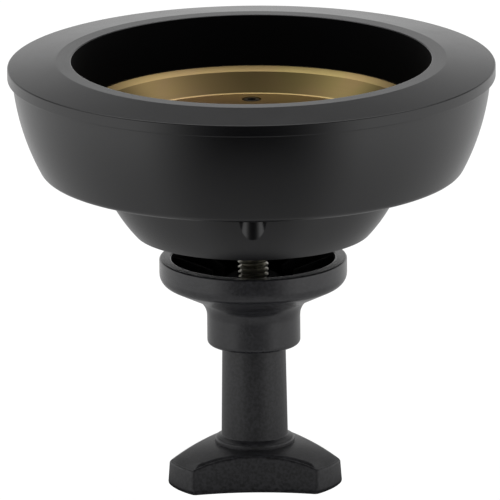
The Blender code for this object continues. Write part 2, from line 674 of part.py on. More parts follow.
def make_handle(parent):
    """The three-lobe handle: knob, shaft and neck as one loft, with its bore, hex cavity and pockets."""
    outline = lobed_outline(0.0)
    directions = [Vector(point).normalized() for point in outline]
    groove = NECK_RADIUS - CIRCLIP_BITE - SEAT_GAP
    turned = [
        (SHAFT_FOOT_RADIUS, KNOB_CROWN + FOOT_RISE),
        (SHAFT_TOP_RADIUS, SHAFT_TOP),
        (NECK_RADIUS, SHAFT_TOP),
        (NECK_RADIUS, CIRCLIP_FOOT - SEAT_GAP),
        (groove, CIRCLIP_FOOT - SEAT_GAP),
        (groove, CIRCLIP_TOP + SEAT_GAP),
        (NECK_RADIUS, CIRCLIP_TOP + SEAT_GAP),
        (NECK_RADIUS, NECK_TOP),
        (STUD_HOLE, NECK_TOP),
        (STUD_HOLE, INSERT_TOP),
        (LOWER_BORE, INSERT_FOOT),
        (LOWER_BORE, PLUG_TOP + SEAT_GAP),
        (PLUG_BORE, PLUG_TOP + SEAT_GAP),
        (PLUG_BORE, 0.0),
    ]
    rings = knob_rings()
    rings += [[(d.x * radius, d.y * radius, height) for d in directions] for radius, height in turned]
    bm = bmesh.new()
    loops = [[bm.verts.new(point) for point in ring] for ring in rings]
    count = len(outline)
    for lower, upper in zip(loops, loops[1:] + loops[:1]):
        for index in range(count):
            following = (index + 1) % count
            bm.faces.new((lower[index], lower[following], upper[following], upper[index]))
    handle = add_object("tie_down_handle", bm, "black_moulding", parent)

    cavity = hexagon(INSERT_FLATS + 2 * SEAT_GAP)
    combine(handle, add_prism("insert_cavity", cavity, INSERT_FOOT - SEAT_GAP, INSERT_TOP + SEAT_GAP))
    ceiling = crown_height(KNOB_RADIUS) - KNOB_SKIN
    pockets = add_prism("knob_pockets", lobed_outline(KNOB_WALL), -OVERSHOOT, ceiling)
    kept = 2 * OVERSHOOT
    boss = [(0.0, -kept), (BOSS_RADIUS, -kept), (BOSS_RADIUS, ceiling + kept), (0.0, ceiling + kept)]
    combine(pockets, add_turned("knob_boss", boss, SMALL_SIDES))
    half = KNOB_RIB / 2
    for lobe in range(LOBES):
        turn = Matrix.Rotation(math.pi / 2 + math.tau * (lobe + 0.5) / LOBES, 2)
        bar = [(0.0, -half), (KNOB_RADIUS, -half), (KNOB_RADIUS, half), (0.0, half)]
        rib = [tuple(turn @ Vector(point)) for point in bar]
        combine(pockets, add_prism(f"knob_rib_{lobe + 1}", rib, -kept, ceiling + kept))
    combine(handle, pockets)


def make_thrust_washers(parent):
    """The washers below and above the collar, which rise and fall with the handle."""
    thickness = WASHER_THICKNESS
    make_washer("lower_thrust_washer", BUSH_BORE, BUSH_RADIUS, COLLAR_FOOT, thickness, "nylon", parent)
    outer = UPPER_WASHER_RADIUS
    make_washer("upper_thrust_washer", BUSH_BORE, outer, UPPER_WASHER_FOOT, thickness, "zinc_steel", parent)


def make_handle_fittings(parent):
    """The handle's threaded insert, plug and circlip."""
    insert = add_prism("threaded_insert", hexagon(INSERT_FLATS), INSERT_FOOT, INSERT_TOP, "brass", parent)
    bore = [(STUD_HOLE, INSERT_TOP + OVERSHOOT), (STUD_HOLE, INSERT_FOOT - OVERSHOOT)]
    combine(insert, add_hole_tool("insert_bore", bore, [(0.0, 0.0)], SMALL_SIDES))
    plug = [(0.0, PLUG_RECESS), (PLUG_RADIUS, PLUG_RECESS), (PLUG_RADIUS, PLUG_TOP), (0.0, PLUG_TOP)]
    add_turned("handle_plug", plug, SMALL_SIDES, "black_moulding", parent)
    inner = NECK_RADIUS - CIRCLIP_BITE
    outer = inner + CIRCLIP_WIDTH
    sweep = math.tau - CIRCLIP_MOUTH
    spread = [CIRCLIP_MOUTH / 2 + sweep * step / SMALL_SIDES for step in range(SMALL_SIDES + 1)]
    outline = [(outer * math.cos(a), outer * math.sin(a)) for a in spread]
    outline += [(inner * math.cos(a), inner * math.sin(a)) for a in reversed(spread)]
    add_prism("neck_circlip", outline, CIRCLIP_FOOT, CIRCLIP_TOP, "black_steel", parent)


def main():
    """Build the adapter."""
    clear_scene()
    handle_travel = add_joint_empty("handle_travel")
    cup_swivel = add_joint_empty("cup_swivel", handle_travel)
    handle_turn = add_joint_empty("handle_turn", handle_travel)
    make_ring()
    make_lower_ball()
    make_dish()
    make_screws()
    make_stud()
    make_thrust_washers(handle_travel)
    make_cup(cup_swivel)
    make_handle(handle_turn)
    make_handle_fittings(handle_turn)


main()
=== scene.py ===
"""The looks of a half ball adapter: turned and moulded pieces, their finishes, and a plain studio.

Lengths are in metres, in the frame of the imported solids: +Z runs up the stud and the knob's base is at z = 0.
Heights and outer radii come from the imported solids, and each class adds the sizes of its own pieces.
"""

import logging
import math
from collections.abc import Callable, Sequence
from dataclasses import dataclass
from enum import Enum
from typing import Any

import bmesh
import bpy
from mathutils import Matrix, Vector


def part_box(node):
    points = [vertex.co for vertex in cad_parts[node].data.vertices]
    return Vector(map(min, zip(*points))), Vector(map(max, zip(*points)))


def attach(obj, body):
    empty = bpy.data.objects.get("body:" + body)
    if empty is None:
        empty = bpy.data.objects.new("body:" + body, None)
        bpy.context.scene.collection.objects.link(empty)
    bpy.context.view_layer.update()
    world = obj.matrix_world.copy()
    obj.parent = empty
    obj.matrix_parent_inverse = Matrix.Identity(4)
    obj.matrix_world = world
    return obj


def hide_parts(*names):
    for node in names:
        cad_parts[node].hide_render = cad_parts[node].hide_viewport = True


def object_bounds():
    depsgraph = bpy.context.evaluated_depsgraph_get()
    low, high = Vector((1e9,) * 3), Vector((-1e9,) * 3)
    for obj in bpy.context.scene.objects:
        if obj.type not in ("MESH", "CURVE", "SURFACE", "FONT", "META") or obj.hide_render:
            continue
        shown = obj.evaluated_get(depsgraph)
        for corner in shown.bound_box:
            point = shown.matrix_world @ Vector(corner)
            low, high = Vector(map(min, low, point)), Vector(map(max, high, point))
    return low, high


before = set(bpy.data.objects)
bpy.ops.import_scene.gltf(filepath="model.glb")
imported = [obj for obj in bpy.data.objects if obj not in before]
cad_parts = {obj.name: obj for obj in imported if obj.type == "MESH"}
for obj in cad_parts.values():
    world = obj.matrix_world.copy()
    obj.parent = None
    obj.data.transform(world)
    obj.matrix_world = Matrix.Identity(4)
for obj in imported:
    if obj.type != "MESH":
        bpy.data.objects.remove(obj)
CAD_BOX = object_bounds()
log = logging.getLogger("half_ball_adapter")

MM = 0.001
ARC_STEP = math.radians(11)  # turn between two points of a rounding
BALL_STEP = math.radians(1.6)  # the same on a ball's side
FINE_SIDES = 240
CUP_SIDES = 120
SMALL_SIDES = 96
ROD_SIDES = 48
SHARP_ANGLE = math.radians(38)
STEEP = 0.5  # a face whose normal rises or falls less than this is a wall
WELD = 2e-6  # points nearer to each other than this become one
NOISE_MEAN = 0.5
TINY = 1e-6  # keeps a quotient finite on the z axis
UP = Vector((0.0, 0.0, 1.0))
SEAT_GAP = 0.3 * MM  # between a piece and what it seats in
OVERSHOOT = 3 * MM  # how far a cutting tool reaches past what it cuts
STUD_HOLE = 5.0625 * MM  # the radius of a hole that the stud passes through

Tint = tuple[float, float, float, float]


class Body(str, Enum):
    """The bodies that the joints move."""

    HALF_BALL = "half_ball"
    WASHERS = "thrust_washers"
    CUP = "cup"
    HANDLE = "handle"


class Slot(str, Enum):
    """The record's material slots."""

    BLACK_ANODISED = "black_anodised"
    GOLD_CHROMATE = "gold_chromate"
    BLACK_MOULDING = "black_moulding"
    ZINC_STEEL = "zinc_steel"
    BLACK_STEEL = "black_steel"
    BRASS = "brass"
    NYLON = "nylon"
    BRONZE = "bronze"


class Link:
    """A node's output that can be reckoned with: each operation adds a Math node to its tree."""

    def __init__(self, board: "Board", socket: bpy.types.NodeSocket) -> None:
        """Wrap a socket of the board's tree."""
        self.board = board
        self.socket = socket

    def math(self, operation: str, *values: "Link | float") -> "Link":
        """Apply one Math operation to this value, and to a second one if it takes two."""
        sockets = dict(enumerate((self, *values)))
        return self.board.add("ShaderNodeMath", {"operation": operation}, sockets)

    def __add__(self, other: "Link | float") -> "Link":
        """Return this value plus another."""
        return self.math("ADD", other)

    def __sub__(self, other: "Link | float") -> "Link":
        """Return this value minus another."""
        return self.math("SUBTRACT", other)

    def __rsub__(self, other: "Link | float") -> "Link":
        """Return another value minus this one."""
        return self.board.value(other).math("SUBTRACT", self)

    def __mul__(self, other: "Link | float") -> "Link":
        """Return this value times another."""
        return self.math("MULTIPLY", other)

    def __truediv__(self, other: "Link | float") -> "Link":
        """Return this value over another."""
        return self.math("DIVIDE", other)

    def __mod__(self, other: "Link | float") -> "Link":
        """Return what is left of this value over another."""
        return self.math("FLOORED_MODULO", other)

    __radd__ = __add__
    __rmul__ = __mul__

    def between(self, low: float, high: float) -> "Link":
        """Return a smooth step from 0 at low to 1 at high."""
        sockets = {"Value": self, "From Min": low, "From Max": high}
        return self.board.add("ShaderNodeMapRange", {"interpolation_type": "SMOOTHSTEP"}, sockets)

    def split(self) -> tuple["Link", "Link", "Link"]:
        """Return the three parts of a vector."""
        parts = self.board.add("ShaderNodeSeparateXYZ", sockets={0: self}).socket.node.outputs
        return tuple(Link(self.board, part) for part in parts)

    def off_axis(self) -> "Link":
        """Return how far a place or a direction reaches from the z axis."""
        x, y, _ = self.split()
        return (x * x + y * y).math("SQRT")


class Board:
    """A node tree that is filled node by node, of a material, of the world or of Geometry Nodes."""

    def __init__(self, tree: bpy.types.NodeTree) -> None:
        """Work on this tree."""
        self.tree = tree

    def add(
        self,
        kind: str,
        settings: dict[str, Any] | None = None,
        sockets: dict[int | str, Any] | None = None,
        output: int | str = 0,
    ) -> Link:
        """Add one node.

        Args:
            kind: the node's type.
            settings: its properties, set before its sockets.
            sockets: values or links by the input's name or number. A list of links joins one input.
            output: which of its outputs is returned.

        Returns:
            The chosen output.
        """
        node = self.tree.nodes.new(kind)
        for name, value in (settings or {}).items():
            setattr(node, name, value)
        for name, value in (sockets or {}).items():
            self.feed(node.inputs[name], value)
        return Link(self, node.outputs[output])

    def feed(self, socket: bpy.types.NodeSocket, value: Any) -> None:
        """Link or set one input.

        Args:
            socket: the input.
            value: a plain value, a link or a list of links.
        """
        for item in value if isinstance(value, list) else [value]:
            if isinstance(item, Link):
                self.tree.links.new(item.socket, socket)
            else:
                socket.default_value = item

    def end(self, kind: str, result: Link) -> None:
        """Feed a result into an output node of this kind."""
        self.feed(self.tree.nodes.new(kind).inputs[0], result)

    def value(self, number: float) -> Link:
        """Return a number as a link, so that it can stand first in a difference."""
        return self.add("ShaderNodeMath", {"operation": "ADD"}, {0: number, 1: 0.0})

    def vector(self, x: "Link | float", y: "Link | float", z: "Link | float") -> Link:
        """Return a vector of three values."""
        return self.add("ShaderNodeCombineXYZ", sockets={0: x, 1: y, 2: z})

    def around(self, radius: Link, angle: Link, height: "Link | float") -> Link:
        """Return the place at a distance from the z axis, an angle round it and a height."""
        return self.vector(radius * angle.math("COSINE"), radius * angle.math("SINE"), height)

    def noise(self, place: Link, size: float, detail: float = 2.0, roughness: float = 0.5) -> Link:
        """Return a noise from 0 to 1 by its largest features' width, its finer octaves and their weight."""
        sockets = {"Vector": place, "Scale": 1 / size, "Detail": detail, "Roughness": roughness}
        return self.add("ShaderNodeTexNoise", {"noise_dimensions": "3D"}, sockets)

    def blend(self, share: "Link | float", first: Any, second: Any) -> Link:
        """Mix two colours by a share, 0 for the first."""
        return self.add("ShaderNodeMix", {"data_type": "RGBA"}, {0: share, 6: first, 7: second}, 2)

    def bump(self, height: Link, depth: float) -> Link:
        """Return a normal for a relief of this depth."""
        return self.add("ShaderNodeBump", sockets={"Height": height, "Distance": depth, "Strength": 1.0})

    def rays(self) -> tuple[Link, Link]:
        """Return whether a ray comes straight from the camera, and whether a glossy face sent it."""
        path = self.add("ShaderNodeLightPath").socket.node.outputs
        return Link(self, path["Is Camera Ray"]), Link(self, path["Is Glossy Ray"])


def colour(red: float, green: float, blue: float) -> Tint:
    """Return an opaque colour."""
    return (red, green, blue, 1.0)


@dataclass(frozen=True)
class Look:
    """What a finish changes over the surface."""

    tint: Link
    cloud: Link  # a broad noise that the roughness drifts with
    marks: Link  # a fine one
    relief: Link


@dataclass(frozen=True)
class Finish:
    """A finish: the sockets that are the same all over, and a method that paints the rest."""

    slot: Slot
    tint: Tint
    roughness: float
    metallic: float = 0.0
    ior: float = 1.5  # low on faces in shade, so that they mirror next to nothing
    suffix: str = "finish"
    dulling: float = 0.06  # how much the roughness changes with the clouds
    scoring: float = 0.05  # and with the marks
    depth: float = 0.01 * MM  # of the relief

    def material(self) -> bpy.types.Material:
        """Make this finish's material, or find it where it is made already.

        Returns:
            The material.
        """
        name = f"{self.slot.value}_{self.suffix}"
        found = bpy.data.materials.get(name)
        if found is not None:
            return found
        made = bpy.data.materials.new(name)
        made.use_nodes = True
        made.diffuse_color = self.tint
        shader = made.node_tree.nodes["Principled BSDF"].inputs
        shader["Metallic"].default_value = self.metallic
        shader["IOR"].default_value = self.ior
        board = Board(made.node_tree)
        look = self.paint(board, board.add("ShaderNodeTexCoord", output="Object"))
        clouds = (look.cloud - NOISE_MEAN) * self.dulling
        marks = (look.marks - NOISE_MEAN) * self.scoring
        board.feed(shader["Base Color"], look.tint)
        board.feed(shader["Roughness"], self.roughness + clouds + marks)
        board.feed(shader["Normal"], board.bump(look.relief, self.depth))
        return made

    def paint(self, board: Board, place: Link) -> Look:
        """Say what changes over the surface, by the place on it in metres."""
        raise NotImplementedError

    def shade(self, *shares: float) -> Tint:
        """Return the tint times one share, or times a share for each of its three parts."""
        factors = shares if len(shares) == 3 else 3 * shares
        return colour(*(share * part for share, part in zip(factors, self.tint)))

    @staticmethod
    def turning_marks(board: Board, place: Link, size: float) -> Link:
        """Return a noise in fine rings round the adapter's axis, as a lathe tool leaves them."""
        rings = board.vector(place.off_axis(), place.split()[2], 0.0)
        return board.noise(rings, size, detail=3.0, roughness=0.65)


@dataclass(frozen=True)
class Anodised(Finish):
    """Turned aluminium under a satin black anodic film."""

    depth: float = 0.004 * MM
    mark: float = 0.35 * MM
    grain: float = 0.12 * MM
    cloud: float = 14 * MM
    palest: float = 1.5  # the tint's factor where the film is thin
    marked: float = 0.6  # the tool marks' part of the relief: the grain has the rest

    def paint(self, board: Board, place: Link) -> Look:
        """Vary the film's sheen and give it turning marks and a fine grain.

        Args:
            board: the material's tree.
            place: the place on the surface, in metres.

        Returns:
            The look.
        """
        marks = self.turning_marks(board, place, self.mark)
        grain = board.noise(place, self.grain, detail=1.0)
        cloud = board.noise(place, self.cloud)
        tint = board.blend(cloud, self.tint, self.shade(self.palest))
        return Look(tint, cloud, marks, marks * self.marked + grain * (1 - self.marked))


@dataclass(frozen=True)
class Chromated(Finish):
    """Turned aluminium under a yellow chromate film, which shimmers from pink to green."""

    dulling: float = 0.08
    scoring: float = 0.12
    depth: float = 0.010 * MM
    mark: float = 0.40 * MM
    cloud: float = 22 * MM
    pink: tuple[float, float, float] = (1.05, 0.98, 1.26)  # how the tint drifts one way
    green: tuple[float, float, float] = (0.92, 1.02, 0.89)  # and the other
    pink_range: tuple[float, float] = (0.52, 0.70)  # of the clouds' noise
    green_range: tuple[float, float] = (0.48, 0.32)
    shimmer: float = 0.7

    def paint(self, board: Board, place: Link) -> Look:
        """Drift the film's colour, and show the tool's rings through it.

        Args:
            board: the material's tree.
            place: the place on the surface, in metres.

        Returns:
            The look.
        """
        marks = self.turning_marks(board, place, self.mark)
        film = board.noise(place, self.cloud)
        pink = film.between(*self.pink_range) * self.shimmer
        green = film.between(*self.green_range) * self.shimmer
        tint = board.blend(pink, self.tint, self.shade(*self.pink))
        tint = board.blend(green, tint, self.shade(*self.green))
        return Look(tint, film, marks, marks)


@dataclass(frozen=True)
class Moulded(Finish):
    """Glass-filled nylon from a spark-eroded mould: a fine even texture with a satin sheen."""

    dulling: float = 0.10
    scoring: float = 0.06
    depth: float = 0.022 * MM
    grain: float = 0.30 * MM
    speck: float = 0.9 * MM
    cloud: float = 9 * MM
    middle: float = 1.125  # the mean tone, as a factor of the tint
    contrast: float = 0.55  # how far the specks lie from it, darker or lighter
    speck_range: tuple[float, float] = (0.35, 0.65)  # of the specks' noise
    speckled: float = 0.8  # the specks' part of the mottling: the flow marks have the rest

    def paint(self, board: Board, place: Link) -> Look:
        """Give the moulding its texture and specks, and faint flow marks in its sheen.

        Args:
            board: the material's tree.
            place: the place on the surface, in metres.

        Returns:
            The look.
        """
        grain = board.noise(place, self.grain, detail=3.0, roughness=0.6)
        cloud = board.noise(place, self.cloud, detail=3.0)
        speck = board.noise(place, self.speck).between(*self.speck_range)
        dark, light = self.shade(self.middle - self.contrast), self.shade(self.middle + self.contrast)
        mottle = cloud * (1 - self.speckled) + speck * self.speckled
        return Look(board.blend(mottle, dark, light), cloud, grain, grain)


@dataclass(frozen=True)
class BareMetal(Finish):
    """Plated, blackened or bare metal with a fine tooled grain."""

    dulling: float = 0.16
    scoring: float = 0.08
    depth: float = 0.006 * MM
    grain: float = 0.20 * MM
    cloud: float = 3 * MM
    change: float = 0.25  # how much darker the tint gets

    def paint(self, board: Board, place: Link) -> Look:
        """Dull the metal unevenly and give it a faint tooling.

        Args:
            board: the material's tree.
            place: the place on the surface, in metres.

        Returns:
            The look.
        """
        marks = self.turning_marks(board, place, self.grain)
        cloud = board.noise(place, self.cloud, detail=3.0)
        return Look(board.blend(cloud, self.tint, self.shade(1 - self.change)), cloud, marks, marks)


class Finishes(Enum):
    """The finishes of this adapter, those of one slot together."""

    RING = Anodised(Slot.BLACK_ANODISED, colour(0.0030, 0.0030, 0.0036), 0.24, ior=1.75)
    # A darker, duller copy of the anodising for faces that lie in shade: painted shade.
    BORE = Anodised(Slot.BLACK_ANODISED, colour(0.0012, 0.0012, 0.0014), 0.70, ior=1.15, suffix="bore")
    # The rim and fillet take this lighter copy of the gold: painted light.
    DISH = Chromated(Slot.GOLD_CHROMATE, colour(0.71, 0.51, 0.225), 0.32, metallic=1.0)
    # The wall and floor take this darker copy of the same gold: painted shade.
    DISH_WALL = Chromated(Slot.GOLD_CHROMATE, colour(0.38, 0.27, 0.116), 0.32, metallic=1.0, suffix="wall")
    CUP = Moulded(
        Slot.BLACK_MOULDING, colour(0.0165, 0.0165, 0.0185), 0.20, ior=1.70, suffix="cup", contrast=0.35
    )
    # A darker, duller copy of the moulding for the cup's hollow and the neck inside it: painted shade.
    HOLLOW = Moulded(Slot.BLACK_MOULDING, colour(0.0070, 0.0070, 0.0075), 0.80, ior=1.15, suffix="hollow")
    HANDLE = Moulded(Slot.BLACK_MOULDING, colour(0.0140, 0.0140, 0.0160), 0.38, ior=1.65, suffix="handle")
    ZINC = BareMetal(Slot.ZINC_STEEL, colour(0.78, 0.76, 0.66), 0.30, metallic=1.0)
    BLACK_STEEL = BareMetal(Slot.BLACK_STEEL, colour(0.030, 0.030, 0.032), 0.38, metallic=0.8)
    # A darker, duller copy of the black steel for the circlip in the neck's groove: painted shade.
    CLIP = BareMetal(Slot.BLACK_STEEL, colour(0.006, 0.006, 0.007), 0.75, ior=1.15, suffix="clip")
    BRASS = BareMetal(Slot.BRASS, colour(0.62, 0.48, 0.22), 0.30, metallic=1.0)
    NYLON = BareMetal(Slot.NYLON, colour(0.70, 0.68, 0.62), 0.45, change=0.08)
    BRONZE = BareMetal(Slot.BRONZE, colour(0.45, 0.28, 0.14), 0.42, metallic=1.0)


@dataclass(frozen=True)
class Corner:
    """A corner of a turned outline: its distance from the axis, its height and how much it is rounded."""

    radius: float
    height: float
    rounding: float = 0.0

    @property
    def point(self) -> Vector:
        """The corner as a point of the half plane."""
        return Vector((self.radius, self.height))


def eased(corners: Sequence[Corner]) -> list[Vector]:
    """Replace the rounded corners of a closed outline by arcs.

    Args:
        corners: the outline's corners in order.

    Returns:
        Points of (distance, height).
    """
    path = []
    for index, corner in enumerate(corners):
        here = corner.point
        if not corner.rounding:
            path.append(here)
            continue
        before = (corners[index - 1].point - here).normalized()
        after = (corners[(index + 1) % len(corners)].point - here).normalized()
        half = before.angle(after) / 2
        centre = here + (before + after).normalized() * corner.rounding / math.sin(half)
        start = here + before * corner.rounding / math.tan(half) - centre
        end = here + after * corner.rounding / math.tan(half) - centre
        sweep = math.atan2(start.x * end.y - start.y * end.x, start.dot(end))
        steps = max(2, math.ceil(abs(sweep) / ARC_STEP))
        path += [centre + Matrix.Rotation(sweep * at / steps, 2) @ start for at in range(steps + 1)]
    return path


def ball_side(radius: float, centre: float, top: float, foot: float, rounding: float) -> list[Corner]:
    """Run down the side of a ball to a flat foot.

    Args:
        radius: the ball's radius.
        centre: the height of its centre.
        top: the height that the side starts at.
        foot: the height of the flat foot.
        rounding: the rounding between side and foot.

    Returns:
        Corners down the side, the first at the top and the last on the foot.
    """
    bend = Vector((math.sqrt((radius - rounding) ** 2 - (centre - foot - rounding) ** 2), foot + rounding))
    first = math.asin((top - centre) / radius)
    last = math.atan2(bend.y - centre, bend.x)
    steps = math.ceil((first - last) / BALL_STEP)
    side = []
    for at in range(steps + 1):
        angle = first + (last - first) * at / steps
        side.append(Corner(radius * math.cos(angle), centre + radius * math.sin(angle)))
    steps = math.ceil((last + math.pi / 2) / ARC_STEP)
    for at in range(1, steps + 1):
        angle = last - (last + math.pi / 2) * at / steps
        side.append(Corner(bend.x + rounding * math.cos(angle), bend.y + rounding * math.sin(angle)))
    return side


def ring_of(reach: float | Sequence[float], height: float, sides: int = SMALL_SIDES) -> list[Vector]:
    """Place points evenly round the axis.

    Args:
        reach: how far out they lie, once for all or for each.
        height: their height.
        sides: how many there are.

    Returns:
        The points.
    """
    reaches = [reach] * sides if isinstance(reach, float) else reach
    angles = [at * math.tau / sides for at in range(sides)]
    return [Vector((far * math.cos(a), far * math.sin(a), height)) for far, a in zip(reaches, angles)]


def hexagon(flats: float, sides: int = SMALL_SIDES) -> list[float]:
    """Say how far a hexagon reaches, all round it.

    Args:
        flats: the distance across its flats.
        sides: at how many angles.

    Returns:
        Its reach at each angle.
    """
    sector = math.pi / 3
    angles = [(at * math.tau / sides) % sector - sector / 2 for at in range(sides)]
    return [flats / 2 / math.cos(angle) for angle in angles]


class Recipe(Board):
    """A Geometry Nodes tree with named inputs, which ends in a material."""

    def __init__(self, name: str) -> None:
        """Start an empty tree.

        Args:
            name: the tree's name.
        """
        super().__init__(bpy.data.node_groups.new(name, "GeometryNodeTree"))
        self.tree.interface.new_socket("Geometry", in_out="OUTPUT", socket_type="NodeSocketGeometry")
        self.inputs: dict[str, str] = {}
        self.source = self.tree.nodes.new("NodeGroupInput")

    def size(self, name: str, kind: str = "Float") -> Link:
        """Add a named input.

        Args:
            name: the input's name.
            kind: Float, Int, Object, Material or Geometry.

        Returns:
            The input as a link.
        """
        made = self.tree.interface.new_socket(name, in_out="INPUT", socket_type=f"NodeSocket{kind}")
        self.inputs[name] = made.identifier
        return Link(self, next(out for out in self.source.outputs if out.identifier == made.identifier))

    def sheet(self, sides: Link, rows: Link) -> tuple[Link, Link, Link]:
        """Add a sheet of points that is to be wrapped round the axis.

        Args:
            sides: how many sides it gets.
            rows: how many rows.

        Returns:
            The sheet, the number of a point's row, and that of its column.
        """
        grid = self.add("GeometryNodeMeshGrid", sockets={"Vertices X": sides + 1, "Vertices Y": rows})
        index = self.add("GeometryNodeInputIndex")
        return grid, index % rows, (index / rows).math("FLOOR")

    def move(self, geometry: Link, place: Link) -> Link:
        """Set the place of each point."""
        return self.add("GeometryNodeSetPosition", sockets={"Geometry": geometry, "Position": place})

    def weld(self, geometry: Link) -> Link:
        """Merge the points that lie on each other."""
        return self.add("GeometryNodeMergeByDistance", sockets={"Geometry": geometry, "Distance": WELD})

    def finish(self, geometry: Link, material: Link) -> None:
        """End the tree: realize the instances and set the material.

        Args:
            geometry: what the tree has made.
            material: its material.
        """
        real = self.add("GeometryNodeRealizeInstances", sockets={"Geometry": geometry})
        sockets = {"Geometry": real, "Material": material}
        self.end("NodeGroupOutput", self.add("GeometryNodeSetMaterial", sockets=sockets))

    def run(self, piece: bpy.types.Object, values: dict[str, Any]) -> bpy.types.Object:
        """Apply the tree to an object and leave it a plain mesh.

        Args:
            piece: the object, whose mesh is the tree's geometry.
            values: the named inputs.

        Returns:
            The same object.
        """
        modifier = piece.modifiers.new(self.tree.name, "NODES")
        modifier.node_group = self.tree
        for name, value in values.items():
            modifier[self.inputs[name]] = value
        return Workshop.settle(piece)


class TurningRecipe(Recipe):
    """Spins an outline, given as the vertices of a mesh in the xz plane, about the z axis."""

    def __init__(self) -> None:
        """Build the tree."""
        super().__init__("turning")
        outline = self.size("Outline", "Geometry")
        sides = self.size("Sides", "Int")
        closed = self.size("Closed", "Int")
        material = self.size("Material", "Material")
        sockets = {"Geometry": outline}
        count = self.add("GeometryNodeAttributeDomainSize", sockets=sockets, output="Point Count")
        grid, row, column = self.sheet(sides, count + closed)
        place = self.add("GeometryNodeInputPosition")
        settings = {"data_type": "FLOAT_VECTOR", "domain": "POINT"}
        sockets = {"Geometry": outline, "Value": place, "Index": row % count}
        radius, _, height = self.add("GeometryNodeSampleIndex", settings, sockets).split()
        turned = self.move(grid, self.around(radius, column * math.tau / sides, height))
        self.finish(self.weld(turned), material)


class CircleRecipe(Recipe):
    """Repeats a piece round a circle about the z axis, each turned to face out."""

    def __init__(self) -> None:
        """Build the tree."""
        super().__init__("circle_of_pieces")
        piece = self.size("Piece", "Object")
        count = self.size("Count", "Int")
        radius = self.size("Radius")
        first = self.size("First Angle")
        height = self.size("Height")
        material = self.size("Material", "Material")
        points = self.add("GeometryNodePoints", sockets={"Count": count})
        angle = self.add("GeometryNodeInputIndex") * math.tau / count + first
        placed = self.move(points, self.around(radius, angle, height))
        turn = self.add("FunctionNodeEulerToRotation", sockets={0: self.vector(0.0, 0.0, angle)})
        shape = self.add("GeometryNodeObjectInfo", sockets={"Object": piece}, output="Geometry")
        sockets = {"Points": placed, "Instance": shape, "Rotation": turn}
        self.finish(self.add("GeometryNodeInstanceOnPoints", sockets=sockets), material)


class ThreadRecipe(Recipe):
    """Cuts a right-hand thread on a rod: a sheet of rows that climb one pitch a turn, closed by two caps."""

    STEPS: int = 8  # rows to a pitch: two on the crest, two on the root and two on each flank
    FLANK: int = 3  # steps from the crest to the root

    def __init__(self) -> None:
        """Build the tree."""
        super().__init__("thread")
        radius = self.size("Radius")
        depth = self.size("Depth")
        pitch = self.size("Pitch")
        low = self.size("Low")
        high = self.size("High")
        point = self.size("Point")
        sides = self.size("Sides", "Int")
        material = self.size("Material", "Material")
        turns = ((high - low) / pitch).math("CEIL") + 2
        grid, row, column = self.sheet(sides, turns * self.STEPS + 1)
        climb = low + pitch * (row / self.STEPS - 1 + column / sides)
        height = climb.math("MAXIMUM", low).math("MINIMUM", high)
        step = row % self.STEPS
        fall = (step - 1).math("MINIMUM", self.STEPS - step) / self.FLANK
        groove = depth * fall.math("MAXIMUM", 0.0).math("MINIMUM", 1.0)
        end = (height - low).math("MINIMUM", high - height) + radius - point
        reach = (radius - groove).math("MINIMUM", end)
        parts = [self.move(grid, self.around(reach, column * math.tau / sides, height))]
        for level in (low, high):
            sockets = {"Vertices": sides, "Radius": radius - point}
            cap = self.add("GeometryNodeMeshCircle", {"fill_type": "NGON"}, sockets)
            sockets = {"Geometry": cap, "Translation": self.vector(0.0, 0.0, level)}
            parts.append(self.add("GeometryNodeTransform", sockets=sockets))
        joined = self.add("GeometryNodeJoinGeometry", sockets={"Geometry": parts})
        self.finish(self.weld(joined), material)


